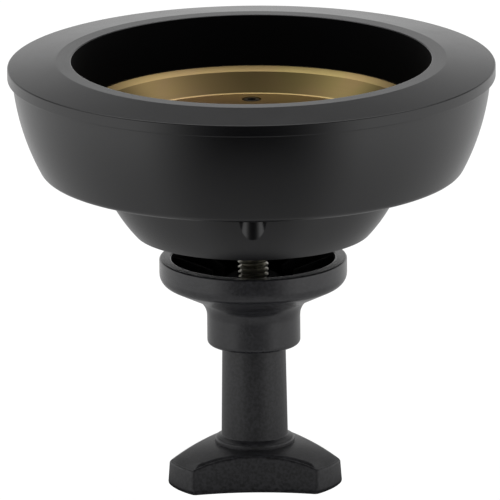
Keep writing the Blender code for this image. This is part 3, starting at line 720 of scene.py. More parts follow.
class Workshop:
    """Makes and finishes meshes, and holds the Geometry Nodes trees that the pieces share."""

    def __init__(self) -> None:
        """Build the trees."""
        self.turning = TurningRecipe()
        self.circle = CircleRecipe()
        self.threading = ThreadRecipe()

    @staticmethod
    def show(name: str, mesh: bpy.types.Mesh | None = None) -> bpy.types.Object:
        """Put a mesh in the scene as an object at the origin.

        Args:
            name: the object's name.
            mesh: the mesh, or none for an empty one.

        Returns:
            The object.
        """
        piece = bpy.data.objects.new(name, mesh or bpy.data.meshes.new(name))
        bpy.context.scene.collection.objects.link(piece)
        return piece

    @staticmethod
    def settle(piece: bpy.types.Object) -> bpy.types.Object:
        """Turn what the modifiers make into the object's own mesh, and remove them.

        Args:
            piece: the object.

        Returns:
            The same object.
        """
        graph = bpy.context.evaluated_depsgraph_get()
        mesh = bpy.data.meshes.new_from_object(piece.evaluated_get(graph))
        piece.modifiers.clear()
        old = piece.data
        piece.data = mesh
        bpy.data.meshes.remove(old)
        mesh.name = piece.name
        return piece

    @staticmethod
    def face_out(piece: bpy.types.Object) -> bpy.types.Object:
        """Make the faces of a closed mesh point outwards.

        Args:
            piece: the object.

        Returns:
            The same object.
        """
        work = bmesh.new()
        work.from_mesh(piece.data)
        bmesh.ops.recalc_face_normals(work, faces=work.faces)
        work.to_mesh(piece.data)
        work.free()
        return piece

    def turn(self, name: str, corners: Sequence[Corner], sides: int, finish: Finish) -> bpy.types.Object:
        """Turn an outline.

        Args:
            name: the piece's name.
            corners: the outline's corners. It is closed unless it starts and ends on the axis.
            sides: how many sides the piece has.
            finish: its finish.

        Returns:
            The piece.
        """
        mesh = bpy.data.meshes.new(name)
        mesh.from_pydata([(point.x, 0.0, point.y) for point in eased(corners)], [], [])
        closed = int(min(corner.radius for corner in corners) > WELD)
        values = {"Sides": sides, "Closed": closed, "Material": finish.material()}
        return self.face_out(self.turning.run(self.show(name, mesh), values))

    def loft(
        self, name: str, rings: Sequence[Sequence[Vector]], finish: Finish, closed: bool = False
    ) -> bpy.types.Object:
        """Skin rings of points that correspond.

        Args:
            name: the piece's name.
            rings: the rings, each with as many points.
            finish: the piece's finish.
            closed: whether the last ring joins the first. If not, both ends get a cap.

        Returns:
            The piece.
        """
        work = bmesh.new()
        loops = [[work.verts.new(point) for point in ring] for ring in rings]
        pairs = list(zip(loops, loops[1:]))
        if closed:
            pairs.append((loops[-1], loops[0]))
        else:
            work.faces.new(loops[0])
            work.faces.new(loops[-1])
        for lower, upper in pairs:
            for at in range(len(lower)):
                following = (at + 1) % len(lower)
                work.faces.new((lower[at], lower[following], upper[following], upper[at]))
        mesh = bpy.data.meshes.new(name)
        work.to_mesh(mesh)
        work.free()
        mesh.materials.append(finish.material())
        return self.face_out(self.show(name, mesh))

    def prism(
        self, name: str, outline: Sequence[Vector], low: float, high: float, finish: Finish
    ) -> bpy.types.Object:
        """Extrude a flat outline, of points of (x, y), from one height to another."""
        rings = [[Vector((point.x, point.y, height)) for point in outline] for height in (low, high)]
        return self.loft(name, rings, finish)

    def repeat(
        self,
        name: str,
        source: bpy.types.Object,
        count: int,
        radius: float,
        first: float,
        finish: Finish,
        height: float = 0.0,
    ) -> bpy.types.Object:
        """Repeat a piece round the axis as one mesh, and remove the piece that was repeated.

        Args:
            name: the new piece's name.
            source: the piece, modelled about the z axis or out from it.
            count: how many.
            radius: how far from the axis.
            first: the angle of the first.
            finish: their finish.
            height: how much they are raised.

        Returns:
            The new piece.
        """
        values = {
            "Piece": source,
            "Count": count,
            "Radius": radius,
            "First Angle": first,
            "Height": height,
            "Material": finish.material(),
        }
        made = self.circle.run(self.show(name), values)
        bpy.data.objects.remove(source, do_unlink=True)
        return made

    def combine(
        self, piece: bpy.types.Object, tools: Sequence[bpy.types.Object], operation: str = "DIFFERENCE"
    ) -> None:
        """Cut a piece with tools, or join them to it, and remove the tools.

        Args:
            piece: the piece.
            tools: the tools.
            operation: DIFFERENCE or UNION.
        """
        for tool in tools:
            modifier = piece.modifiers.new(tool.name, "BOOLEAN")
            modifier.operation = operation
            modifier.solver = "EXACT"
            modifier.object = tool
        self.settle(piece)
        for tool in tools:
            bpy.data.objects.remove(tool, do_unlink=True)

    @staticmethod
    def line(
        piece: bpy.types.Object, finish: Finish, inside: Callable[[bpy.types.MeshPolygon], bool]
    ) -> None:
        """Give some faces of a piece a finish of their own.

        Args:
            piece: the piece.
            finish: the finish.
            inside: says which faces take it.
        """
        piece.data.materials.append(finish.material())
        number = len(piece.data.materials) - 1
        for face in piece.data.polygons:
            if inside(face):
                face.material_index = number

    def seat(self, piece: bpy.types.Object, body: Body, finish: Finish, *nodes: str) -> None:
        """Shade a piece smooth with crisp edges and flat faces, and hand it to the frame.

        Args:
            piece: the piece.
            body: the body that it moves with.
            finish: the finish whose slot it takes.
            nodes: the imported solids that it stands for.
        """
        piece.data.shade_smooth()
        piece.data.set_sharp_from_angle(angle=SHARP_ANGLE)
        piece.modifiers.new("flat_faces", "WEIGHTED_NORMAL").keep_sharp = True
        self.settle(piece)
        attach(piece, body.value)
        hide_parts(*nodes)
        log.info("%s: %d faces, for %s", piece.name, len(piece.data.polygons), ", ".join(nodes))


@dataclass(frozen=True)
class SocketScrew:
    """A socket-head screw on the z axis, with its head's seat at height 0 and its shank below."""

    radius: float
    head_radius: float
    head: float
    length: float
    socket: float
    socket_depth: float
    ridges: int = 32
    ridge: float = 0.06 * MM
    edge: float = 0.25 * MM
    drilled: float = 0.2  # the width of the socket's deepest point, as a share of the socket's

    def build(self, shop: Workshop, name: str, finish: Finish, points_up: bool) -> bpy.types.Object:
        """Make the screw.

        Args:
            shop: the workshop.
            name: its name.
            finish: its finish.
            points_up: whether the head hangs below the seat, as on a screw driven from below.

        Returns:
            The screw.
        """
        sides = 2 * self.ridges
        knurl = [self.head_radius - self.ridge * (at % 2) for at in range(sides)]
        rim = self.head_radius - self.edge
        floor = self.head - self.socket_depth
        steps = [
            (self.radius - self.edge, -self.length),
            (self.radius, self.edge - self.length),
            (self.radius, 0.0),
            (rim, 0.0),
            (knurl, self.edge),
            (knurl, self.head - 2 * self.edge),
            (rim, self.head - self.edge / 3),
            (rim - self.edge, self.head),
            (hexagon(self.socket + 2 * self.edge / 3, sides), self.head),
            (hexagon(self.socket, sides), self.head - self.edge / 2),
            (hexagon(self.socket, sides), floor),
            (hexagon(self.drilled * self.socket, sides), floor - self.edge),
        ]
        flip = Matrix.Rotation(math.pi if points_up else 0.0, 3, "X")
        rings = [[flip @ point for point in ring_of(reach, height, sides)] for reach, height in steps]
        return shop.loft(name, rings, finish)


@dataclass(frozen=True)
class ScrewCircle:
    """Screws on a circle round the axis, with the stepped holes that they stand in."""

    screw: SocketScrew
    circle: float
    first: float
    count: int = 3

    def holes(self, shop: Workshop, name: str, *steps: tuple[float, float]) -> bpy.types.Object:
        """Make the tool that cuts the holes.

        Args:
            shop: the workshop.
            name: the tool's name.
            steps: (radius, height) down the side of a hole.

        Returns:
            The tool.
        """
        finish = Finishes.RING.value
        corners = [Corner(0.0, steps[0][1]), *[Corner(*step) for step in steps], Corner(0.0, steps[-1][1])]
        hole = shop.turn(name, corners, ROD_SIDES, finish)
        return shop.face_out(shop.repeat(f"{name}_all", hole, self.count, self.circle, self.first, finish))

    def build(self, shop: Workshop, name: str, seat: float, points_up: bool, node: str) -> None:
        """Make the screws and hand them to the frame.

        Args:
            shop: the workshop.
            name: a screw's name.
            seat: the height of the heads' seats.
            points_up: whether the screws are driven from below.
            node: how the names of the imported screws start.
        """
        finish = Finishes.BLACK_STEEL.value
        screw = self.screw.build(shop, name, finish, points_up)
        screws = shop.repeat(f"{name}s", screw, self.count, self.circle, self.first, finish, seat)
        nodes = [f"{node}_{number + 1}" for number in range(self.count)]
        shop.seat(screws, Body.HALF_BALL, finish, *nodes)


@dataclass
class HalfBalls:
    """The large half ball ring, the small half ball under it, the gold seat dish and their screws."""

    shop: Workshop
    ring_radius: float = 75 * MM
    ring_centre: float = 0.6 * MM  # the ball's centre above the lip
    flange_band: float = 3.7 * MM
    top_fall: float = 2.0 * MM
    lip_band: float = 4.7 * MM
    opening: float = 56.4 * MM
    ring_rounding: float = 3.6 * MM
    socket_depth: float = 4.0 * MM
    web: float = 4.5 * MM
    ball_radius: float = 50 * MM
    ball_drop: float = 33.9 * MM  # from the small ball's centre down to its foot
    ball_rounding: float = 1.2 * MM
    ball_floor: float = 9.5 * MM
    cavity: float = 33 * MM
    spigot: float = 18 * MM
    dish_rim: float = 2.6 * MM
    dish_rim_rise: float = 1.45 * MM
    dish_wall_rise: float = 5.65 * MM
    dish_wall_run: float = 6.6 * MM
    dish_hole: float = 12.3 * MM
    dish_fillet: float = 1.6 * MM
    counterbore: float = 4.5 * MM
    head_hole: float = 3.05 * MM
    edge: float = 0.45 * MM
    fine_edge: float = 0.2 * MM
    large: ScrewCircle = ScrewCircle(
        SocketScrew(
            radius=2.5 * MM,
            head_radius=4.25 * MM,
            head=5.0 * MM,
            length=8.0 * MM,
            socket=4.0 * MM,
            socket_depth=2.75 * MM,
        ),
        circle=47.5 * MM,
        first=math.radians(-90),
    )
    small: ScrewCircle = ScrewCircle(
        SocketScrew(
            radius=1.5 * MM,
            head_radius=2.75 * MM,
            head=3.0 * MM,
            length=16.0 * MM,
            socket=2.5 * MM,
            socket_depth=1.65 * MM,
        ),
        circle=37 * MM,
        first=math.radians(90),
    )

    def __post_init__(self) -> None:
        """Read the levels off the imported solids."""
        ring_low, ring_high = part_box("half_ball_ring")
        ball_low, ball_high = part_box("lower_half_ball")
        dish_low, dish_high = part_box("seat_dish")
        self.lip, self.underside, self.flange_radius = ring_high.z, ring_low.z, ring_high.x
        self.ball_foot, self.spigot_top = ball_low.z, ball_high.z
        self.dish_foot, self.dish_top, self.dish_radius = dish_low.z, dish_high.z, dish_high.x
        self.ceiling = self.underside + self.socket_depth
        self.web_top = self.ceiling + self.web
        self.ball_centre = self.ball_foot + self.ball_drop
        self.register = math.sqrt(self.ball_radius**2 - (self.ball_centre - self.underside) ** 2)
        self.rim_foot = self.dish_top - self.dish_rim_rise
        self.dish_floor = self.rim_foot - self.dish_wall_rise
        self.large_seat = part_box("ball_screw_1")[0].z + self.large.screw.head
        self.small_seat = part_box("dish_screw_1")[1].z - self.small.screw.head
        self.large_bore = self.large.screw.radius + SEAT_GAP
        self.small_bore = self.small.screw.radius + SEAT_GAP

    def build_ring(self) -> None:
        """Make the large half ball ring."""
        finish = Finishes.RING.value
        foot = self.lip - self.top_fall - self.flange_band
        centre = self.lip + self.ring_centre
        start, *side = ball_side(self.ring_radius, centre, foot, self.underside, self.ring_rounding)
        corners = [
            Corner(self.opening, self.lip, self.edge),
            Corner(self.opening + self.lip_band, self.lip, self.edge),
            Corner(self.flange_radius, self.lip - self.top_fall, self.edge),
            Corner(self.flange_radius, foot, self.edge),
            Corner(start.radius, start.height, self.fine_edge),
            *side,
            Corner(self.register + SEAT_GAP, self.underside, self.fine_edge),
            Corner(self.register + SEAT_GAP, self.ceiling),
            Corner(self.spigot + SEAT_GAP, self.ceiling),
            Corner(self.spigot + SEAT_GAP, self.web_top),
            Corner(self.dish_radius + SEAT_GAP, self.web_top),
            Corner(self.dish_radius + SEAT_GAP, self.dish_top),
        ]
        ring = self.shop.turn("ring_body", corners, FINE_SIDES, finish)
        high, low = self.web_top + OVERSHOOT, self.underside - OVERSHOOT
        seat, bore, wide = self.large_seat + SEAT_GAP, self.large_bore, self.counterbore
        bores = self.large.holes(self.shop, "bores", (bore, high), (bore, seat), (wide, seat), (wide, low))
        low, bore = self.ceiling - OVERSHOOT, self.small_bore
        through = self.small.holes(self.shop, "through", (bore, high), (bore, low))
        self.shop.combine(ring, [bores, through])
        self.shop.line(ring, Finishes.BORE.value, self.in_opening_painted_shade)
        self.shop.seat(ring, Body.HALF_BALL, finish, "half_ball_ring")

    def in_opening_painted_shade(self, face: bpy.types.MeshPolygon) -> bool:
        """Return whether a face of the ring lies on the wall of its opening, above the dish, which is darkened
        as painted shade.
        """
        inside = face.center.xy.length < self.opening
        return inside and face.center.z > self.dish_top - self.edge and abs(face.normal.z) < STEEP

    def build_ball(self) -> None:
        """Make the small half ball, with a scallop for each large screw."""
        finish = Finishes.RING.value
        top = self.ceiling - SEAT_GAP
        side = ball_side(
            self.ball_radius, self.ball_centre, self.underside, self.ball_foot, self.ball_rounding
        )
        floor = self.ball_foot + self.ball_floor
        corners = [
            Corner(STUD_HOLE, self.spigot_top),
            Corner(self.spigot, self.spigot_top, self.fine_edge),
            Corner(self.spigot, floor),
            Corner(self.cavity, floor),
            Corner(self.cavity, top),
            Corner(self.register, top),
            *side,
            Corner(STUD_HOLE, self.ball_foot, self.edge),
        ]
        ball = self.shop.turn("small_half_ball", corners, FINE_SIDES, finish)
        high, low = top + OVERSHOOT, self.ball_foot - OVERSHOOT
        scallops = self.large.holes(self.shop, "scallops", (self.counterbore, high), (self.counterbore, low))
        tip = self.small_seat - self.small.screw.length - SEAT_GAP
        threads = self.small.holes(self.shop, "threads", (self.small_bore, high), (self.small_bore, tip))
        self.shop.combine(ball, [scallops, threads])
        foot = self.ball_foot + self.fine_edge
        # The small ball's flat foot takes that darker copy too: painted shade.
        self.shop.line(ball, Finishes.BORE.value, lambda face: face.center.z < foot)
        self.shop.seat(ball, Body.HALF_BALL, finish, "lower_half_ball")

    def build_dish(self) -> None:
        """Make the gold seat dish."""
        finish = Finishes.DISH.value
        inner = self.dish_radius - self.dish_rim
        corners = [
            Corner(self.dish_radius, self.dish_foot),
            Corner(self.dish_radius, self.dish_top, self.fine_edge),
            Corner(inner, self.rim_foot, self.edge),
            Corner(inner - self.dish_wall_run, self.dish_floor, self.dish_fillet),
            Corner(self.dish_hole, self.dish_floor, self.edge),
            Corner(self.dish_hole, self.dish_foot),
        ]
        dish = self.shop.turn("gold_dish", corners, FINE_SIDES, finish)
        low = self.dish_foot - OVERSHOOT
        tip = self.large_seat + self.large.screw.length + SEAT_GAP
        threads = self.large.holes(self.shop, "dish_threads", (self.large_bore, tip), (self.large_bore, low))
        high, seat = self.dish_floor + OVERSHOOT, self.small_seat - SEAT_GAP
        wide, bore = self.head_hole, self.small_bore
        heads = self.small.holes(self.shop, "heads", (wide, high), (wide, seat), (bore, seat), (bore, low))
        self.shop.combine(dish, [threads, heads])
        # The wall and floor get the darker gold, the rim and fillet keep the lighter: painted shade and painted
        # light.
        self.shop.line(dish, Finishes.DISH_WALL.value, self.in_painted_shade)
        self.shop.seat(dish, Body.HALF_BALL, finish, "seat_dish")

    def in_painted_shade(self, face: bpy.types.MeshPolygon) -> bool:
        """Say whether a face lies on the dish's wall or floor, off the bright fillet between them, where the
        gold is darkened as painted shade.

        Args:
            face: the face.

        Returns:
            Whether it does.
        """
        slope = math.atan2(self.dish_wall_rise, self.dish_wall_run)
        margin = ARC_STEP / 4
        on_fillet = margin < face.normal.angle(UP) < slope - margin
        return face.center.z < self.rim_foot and not on_fillet

    def build(self) -> None:
        """Make the whole sub-assembly."""
        self.build_ring()
        self.build_ball()
        self.build_dish()
        self.large.build(self.shop, "large_screw", self.large_seat, points_up=True, node="ball_screw")
        self.small.build(self.shop, "small_screw", self.small_seat, points_up=False, node="dish_screw")


@dataclass
class Stud:
    """The threaded stud with its washer and jam nut."""

    shop: Workshop
    radius: float = 4.7625 * MM
    pitch: float = 1.5875 * MM
    depth: float = 0.974 * MM
    point: float = 1.1 * MM  # how much the ends taper
    nut_flats: float = 14.2875 * MM
    nut_bore: float = 4.5 * MM
    edge: float = 0.3 * MM
    nut_slope: float = math.tan(math.radians(30))
    finish: Finish = Finishes.ZINC.value

    def build_stud(self) -> None:
        """Cut the stud's thread."""
        low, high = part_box("clamp_stud")
        values = {
            "Radius": self.radius,
            "Depth": self.depth,
            "Pitch": self.pitch,
            "Low": low.z,
            "High": high.z,
            "Point": self.point,
            "Sides": ROD_SIDES,
            "Material": self.finish.material(),
        }
        stud = self.shop.face_out(self.shop.threading.run(self.shop.show("threaded_stud"), values))
        self.shop.seat(stud, Body.HALF_BALL, self.finish, "clamp_stud")

    def build_washer(self) -> None:
        """Make the plain washer under the nut."""
        low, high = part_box("stud_washer")
        corners = [
            Corner(self.nut_bore, low.z),
            Corner(high.x, low.z, self.edge),
            Corner(high.x, high.z, self.edge),
            Corner(self.nut_bore, high.z),
        ]
        washer = self.shop.turn("plain_washer", corners, SMALL_SIDES, self.finish)
        self.shop.seat(washer, Body.HALF_BALL, self.finish, "stud_washer")

    def build_nut(self) -> None:
        """Make the jam nut: a hexagon whose corners are turned off at both ends."""
        low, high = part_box("stud_nut")
        turned = self.nut_flats / 2 - self.edge / 2
        reaches = hexagon(self.nut_flats)
        lower, upper = ring_of(reaches, low.z), ring_of(reaches, high.z)
        for reach, foot, crown in zip(reaches, lower, upper):
            foot.z += (reach - turned) * self.nut_slope
            crown.z -= (reach - turned) * self.nut_slope
        rings = [
            ring_of(self.nut_bore, low.z),
            ring_of(turned, low.z),
            lower,
            upper,
            ring_of(turned, high.z),
            ring_of(self.nut_bore + self.edge, high.z),
            ring_of(self.nut_bore, high.z - self.edge),
        ]
        nut = self.shop.loft("jam_nut", rings, self.finish, closed=True)
        self.shop.seat(nut, Body.HALF_BALL, self.finish, "stud_nut")

    def build(self) -> None:
        """Make the whole sub-assembly."""
        self.build_stud()
        self.build_washer()
        self.build_nut()


@dataclass
class ClampCup:
    """The moulded cup that swivels on the handle's neck."""

    shop: Workshop
    wall: float = 3.8 * MM
    floor: float = 3.0 * MM
    slope: float = math.radians(26)
    flare: float = 6.5 * MM
    depth: float = 7.4 * MM
    hub_drop: float = 2.2 * MM
    bore: float = 9.9 * MM
    rounding: float = 4.0 * MM
    rim_rounding: float = 0.6 * MM
    hollow_rounding: float = 1.0 * MM
    collar_radius: float = 14.6 * MM
    collar_rounding: float = 1.5 * MM
    ribs: int = 12
    rib: float = 1.5 * MM
    rib_sink: float = 1.2 * MM
    rib_fall: float = 4.0 * MM
    rib_start: float = 13.2 * MM
    rib_root: float = 1.0 * MM
    rib_draft: float = 0.15 * MM
    rib_steps: int = 6

    def __post_init__(self) -> None:
        """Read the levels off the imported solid."""
        low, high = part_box("clamp_cup")
        self.foot, self.rim, self.radius = low.z, high.z, high.x
        self.inner = self.radius - self.wall
        self.underside = self.rim - self.depth
        self.hub_top = self.underside - self.hub_drop
        self.floor_at_side = self.underside + self.floor / math.cos(self.slope)

    def floor_height(self, radius: float) -> float:
        """Return the height of the hollow's floor, which rises from the hub beside the sloping underside."""
        return max(self.hub_top, self.floor_at_side - (self.radius - radius) * math.tan(self.slope))

    def build(self) -> None:
        """Make the cup and its ribs."""
        finish = Finishes.CUP.value
        hub_edge = self.radius - (self.floor_at_side - self.hub_top) / math.tan(self.slope)
        neck = self.underside - (self.radius - self.collar_radius) * math.tan(self.slope)
        corners = [
            Corner(self.radius, self.rim, self.rim_rounding),
            Corner(self.radius, self.underside, self.rounding),
            Corner(self.collar_radius, neck, self.flare),
            Corner(self.collar_radius, self.foot, self.collar_rounding),
            Corner(self.bore, self.foot, self.rim_rounding),
            Corner(self.bore, self.hub_top),
            Corner(hub_edge, self.hub_top, self.hollow_rounding),
            Corner(self.inner, self.floor_height(self.inner), self.hollow_rounding),
            Corner(self.inner, self.rim, self.rim_rounding),
        ]
        cup = self.shop.turn("cup_moulding", corners, CUP_SIDES, finish)
        self.shop.combine(cup, [self.rib_circle(finish)], "UNION")
        self.shop.line(cup, Finishes.HOLLOW.value, self.in_painted_shade)
        self.shop.seat(cup, Body.CUP, finish, "clamp_cup")

    def in_painted_shade(self, face: bpy.types.MeshPolygon) -> bool:
        """Return whether a face lies in the cup's hollow, below its rim, which is darkened as painted shade."""
        inside = face.center.xy.length < self.inner + self.rim_rounding / 4
        return inside and face.center.z > self.hub_top - self.rim_rounding and face.normal.z > -STEEP

    def rib_circle(self, finish: Finish) -> bpy.types.Object:
        """Make the ribs, each thinner at its top than at its root.

        Args:
            finish: their finish.

        Returns:
            The ribs.
        """
        run = self.inner + self.rib_root - self.rib_start
        root = self.rib / 2
        crest = root - self.rib_draft
        rings = []
        for at in range(self.rib_steps + 1):
            share = at / self.rib_steps
            radius = self.rib_start + run * share
            low = self.floor_height(radius) - self.rib_root
            high = self.rim - self.rib_sink - self.rib_fall * (1 - share)
            corners = [(root, low), (crest, high), (-crest, high), (-root, low)]
            rings.append([Vector((radius, side, height)) for side, height in corners])
        rib = self.shop.loft("rib", rings, finish)
        return self.shop.face_out(self.shop.repeat("ribs", rib, self.ribs, 0.0, math.pi / self.ribs, finish))


@dataclass
class Handle:
    """The three-lobe handle: knob, shaft and neck in one moulding, and the plug in its base."""

    shop: Workshop
    lobes: int = 3
    radius: float = 28.2 * MM  # the lobes' ends lie on this circle
    width: float = 15.4 * MM
    corner: float = 1.3 * MM
    hollow: float = 2.8 * MM
    draft: float = math.radians(3)
    crown: float = 12.7 * MM
    crown_slope: float = math.radians(6)
    crown_curve: float = 50 * MM
    base_rounding: float = 1.8 * MM
    rim_rounding: float = 0.8 * MM
    wall: float = 2.8 * MM
    skin: float = 2.5 * MM
    boss_radius: float = 11.0 * MM
    rib: float = 2.2 * MM
    foot_radius: float = 10.4 * MM
    top_radius: float = 9.95 * MM
    foot_flare: float = 2.1 * MM
    foot_rise: float = 2.3 * MM
    foot_side: float = 1.5 * MM
    foot_bead: float = 1.1 * MM
    foot_edge: float = 0.35 * MM
    shaft_top: float = 44.0 * MM
    neck: float = 7.5 * MM
    groove: float = 6.7 * MM
    lower_bore: float = 6.3 * MM
    plug_bore: float = 7.3 * MM
    plug_edge: float = 0.4 * MM
    dimple: float = 3.0 * MM
    dimple_depth: float = 0.5 * MM
    shoulder_edge: float = 0.3 * MM
    flank_steps: int = 20
    end_steps: int = 10
    crown_steps: int = 10
    rounding_steps: int = 8
    finish: Finish = Finishes.HANDLE.value

    def __post_init__(self) -> None:
        """Work out where the knob's top starts, at the ring round the shaft's foot."""
        self.crown_start = self.foot_radius + self.foot_flare

    def outline(self, inset: float) -> list[Vector]:
        """Go round the knob.

        Args:
            inset: how far inside the knob's largest outline.

        Returns:
            The outline's points, always as many.
        """
        turn = math.tau / self.lobes
        flank_distance = self.radius * math.cos(turn / 2 - math.asin(self.width / 2 / self.radius))
        radius = self.radius - inset
        half = turn / 2 - math.acos((flank_distance - inset) / radius)
        corners: list[Corner] = []
        for lobe in range(self.lobes):
            middle = math.pi / 2 + lobe * turn
            spread = [middle - half + 2 * half * at / self.end_steps for at in range(self.end_steps + 1)]
            right, *end, left = [Vector((radius * math.cos(a), radius * math.sin(a))) for a in spread]
            chord = Matrix.Rotation(turn, 2) @ right - left
            inward = Vector((-chord.y, chord.x)).normalized()
            flank = []
            for at in range(1, self.flank_steps):
                share = at / self.flank_steps
                flank.append(left + chord * share + inward * self.hollow * 4 * share * (1 - share))
            corners += [Corner(*right, self.corner), *[Corner(*point) for point in end]]
            corners += [Corner(*left, self.corner), *[Corner(*point) for point in flank]]
        return eased(corners)

    def crown_height(self, radius: float) -> float:
        """Follow the knob's gently domed top.

        Args:
            radius: how far from the axis.

        Returns:
            The top's height there.
        """
        centre = self.crown_start - self.crown_curve * math.sin(self.crown_slope)
        drop = self.crown_curve * math.cos(self.crown_slope)
        return self.crown - drop + math.sqrt(self.crown_curve**2 - (radius - centre) ** 2)

    def quarter(self, rounding: float) -> list[tuple[float, float]]:
        """Return points along a quarter round, each by its distances from the two sides that it joins."""
        angles = [math.pi / 2 * at / self.rounding_steps for at in range(self.rounding_steps + 1)]
        return [(rounding * (1 - math.sin(angle)), rounding * (1 - math.cos(angle))) for angle in angles]

    def knob_rings(self) -> list[list[Vector]]:
        """Run over the knob, from its flat base up the flanks and in over its top.

        Returns:
            Rings of points that correspond.
        """
        rings = []
        for inset, height in self.quarter(self.base_rounding):
            rings.append([Vector((*point, height)) for point in self.outline(inset)])
        edges = [self.crown_height(point.length) for point in self.outline(0.0)]
        for drop, bend in self.quarter(self.rim_rounding):
            loop = []
            for index, edge in enumerate(edges):
                inset = bend + (edge - drop) * math.tan(self.draft)
                loop.append(Vector((*self.outline(inset)[index], edge - drop)))
            rings.append(loop)
        rim = rings[-1]
        for at in range(1, self.crown_steps + 1):
            loop = []
            for point in rim:
                radius = point.xy.length
                moved = radius + (self.crown_start - radius) * at / self.crown_steps
                loop.append(Vector((*(point.xy / radius * moved), self.crown_height(moved))))
            rings.append(loop)
        return rings

    def shaft_corners(self) -> list[Corner]:
        """Run up the shaft and the neck and down the bore to the base.

        Returns:
            The corners.
        """
        clip_low, clip_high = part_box("neck_circlip")
        groove_low, groove_high = clip_low.z - SEAT_GAP, clip_high.z + SEAT_GAP
        neck_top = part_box("tie_down_handle")[1].z
        insert_low, insert_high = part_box("threaded_insert")
        plug_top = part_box("handle_plug")[1].z + SEAT_GAP
        return [
            Corner(self.crown_start, self.crown),
            Corner(self.crown_start, self.crown + self.foot_side, self.foot_bead),
            Corner(self.foot_radius, self.crown + self.foot_rise, self.foot_edge),
            Corner(self.top_radius, self.shaft_top, self.shoulder_edge),
            Corner(self.neck, self.shaft_top),
            Corner(self.neck, groove_low),
            Corner(self.groove, groove_low),
            Corner(self.groove, groove_high),
            Corner(self.neck, groove_high),
            Corner(self.neck, neck_top, self.shoulder_edge),
            Corner(STUD_HOLE, neck_top),
            Corner(STUD_HOLE, insert_high.z),
            Corner(self.lower_bore, insert_low.z),
            Corner(self.lower_bore, plug_top),
            Corner(self.plug_bore, plug_top),
            Corner(self.plug_bore, 0.0),
        ]

    def build_pockets(self) -> bpy.types.Object:
        """Make the tool that cores out the knob from below, round a boss and three ribs.

        Returns:
            The tool.
        """
        ceiling = self.crown_height(self.radius) - self.skin
        pockets = self.shop.prism("pockets", self.outline(self.wall), -OVERSHOOT, ceiling, self.finish)
        low, high = -2 * OVERSHOOT, ceiling + OVERSHOOT
        corners = [(0.0, low), (self.boss_radius, low), (self.boss_radius, high), (0.0, high)]
        kept = [self.shop.turn("boss", [Corner(*corner) for corner in corners], SMALL_SIDES, self.finish)]
        half = self.rib / 2
        corners = [(0.0, -half), (self.radius, -half), (self.radius, half), (0.0, half)]
        for lobe in range(self.lobes):
            turn = Matrix.Rotation(math.pi / 2 + math.tau * (lobe + 0.5) / self.lobes, 2)
            bar = [turn @ Vector(corner) for corner in corners]
            kept.append(self.shop.prism(f"rib_{lobe}", bar, low, high, self.finish))
        self.shop.combine(pockets, kept)
        return pockets

    def build_handle(self) -> None:
        """Skin the handle, and core out its knob."""
        directions = [point.normalized() for point in self.outline(0.0)]
        rings = self.knob_rings()
        for point in eased(self.shaft_corners())[1:]:
            rings.append([Vector((*(side * point.x), point.y)) for side in directions])
        handle = self.shop.loft("three_lobe_handle", rings, self.finish, closed=True)
        self.shop.combine(handle, [self.build_pockets()])
        # The neck above the shaft, inside the cup, takes the darker moulding: painted shade.
        self.shop.line(handle, Finishes.HOLLOW.value, lambda face: face.center.z > self.shaft_top)
        self.shop.seat(handle, Body.HANDLE, self.finish, "tie_down_handle")

    def build_plug(self) -> None:
        """Make the plug, with a turned edge and a shallow dimple."""
        low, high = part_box("handle_plug")
        corners = [
            Corner(0.0, low.z + self.dimple_depth),
            Corner(self.dimple, low.z + self.dimple_depth, self.plug_edge / 2),
            Corner(self.dimple + self.dimple_depth, low.z, self.plug_edge / 2),
            Corner(high.x, low.z, self.plug_edge),
            Corner(high.x, high.z),
            Corner(0.0, high.z),
        ]
        plug = self.shop.turn("base_plug", corners, SMALL_SIDES, self.finish)
        self.shop.seat(plug, Body.HANDLE, self.finish, "handle_plug")

    def build(self) -> None:
        """Make the whole sub-assembly."""
        self.build_handle()
        self.build_plug()


def dress_packed_solids() -> None:
    """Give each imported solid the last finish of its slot, but the stop ring the black steel of the screws."""
    # The last finish of a slot may be a darker copy for painted shade, as the circlip's black steel is.
    finishes = {finish.value.slot.value: finish.value for finish in Finishes}
    for node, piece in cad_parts.items():
        slot = piece.data.materials[0].name.split(".")[0]
        finish = Finishes.BLACK_STEEL.value if node == "stud_stop_ring" else finishes[slot]
        piece.data.materials.clear()
        piece.data.materials.append(finish.material())
        log.info("%s takes %s", node, finish.material().name)


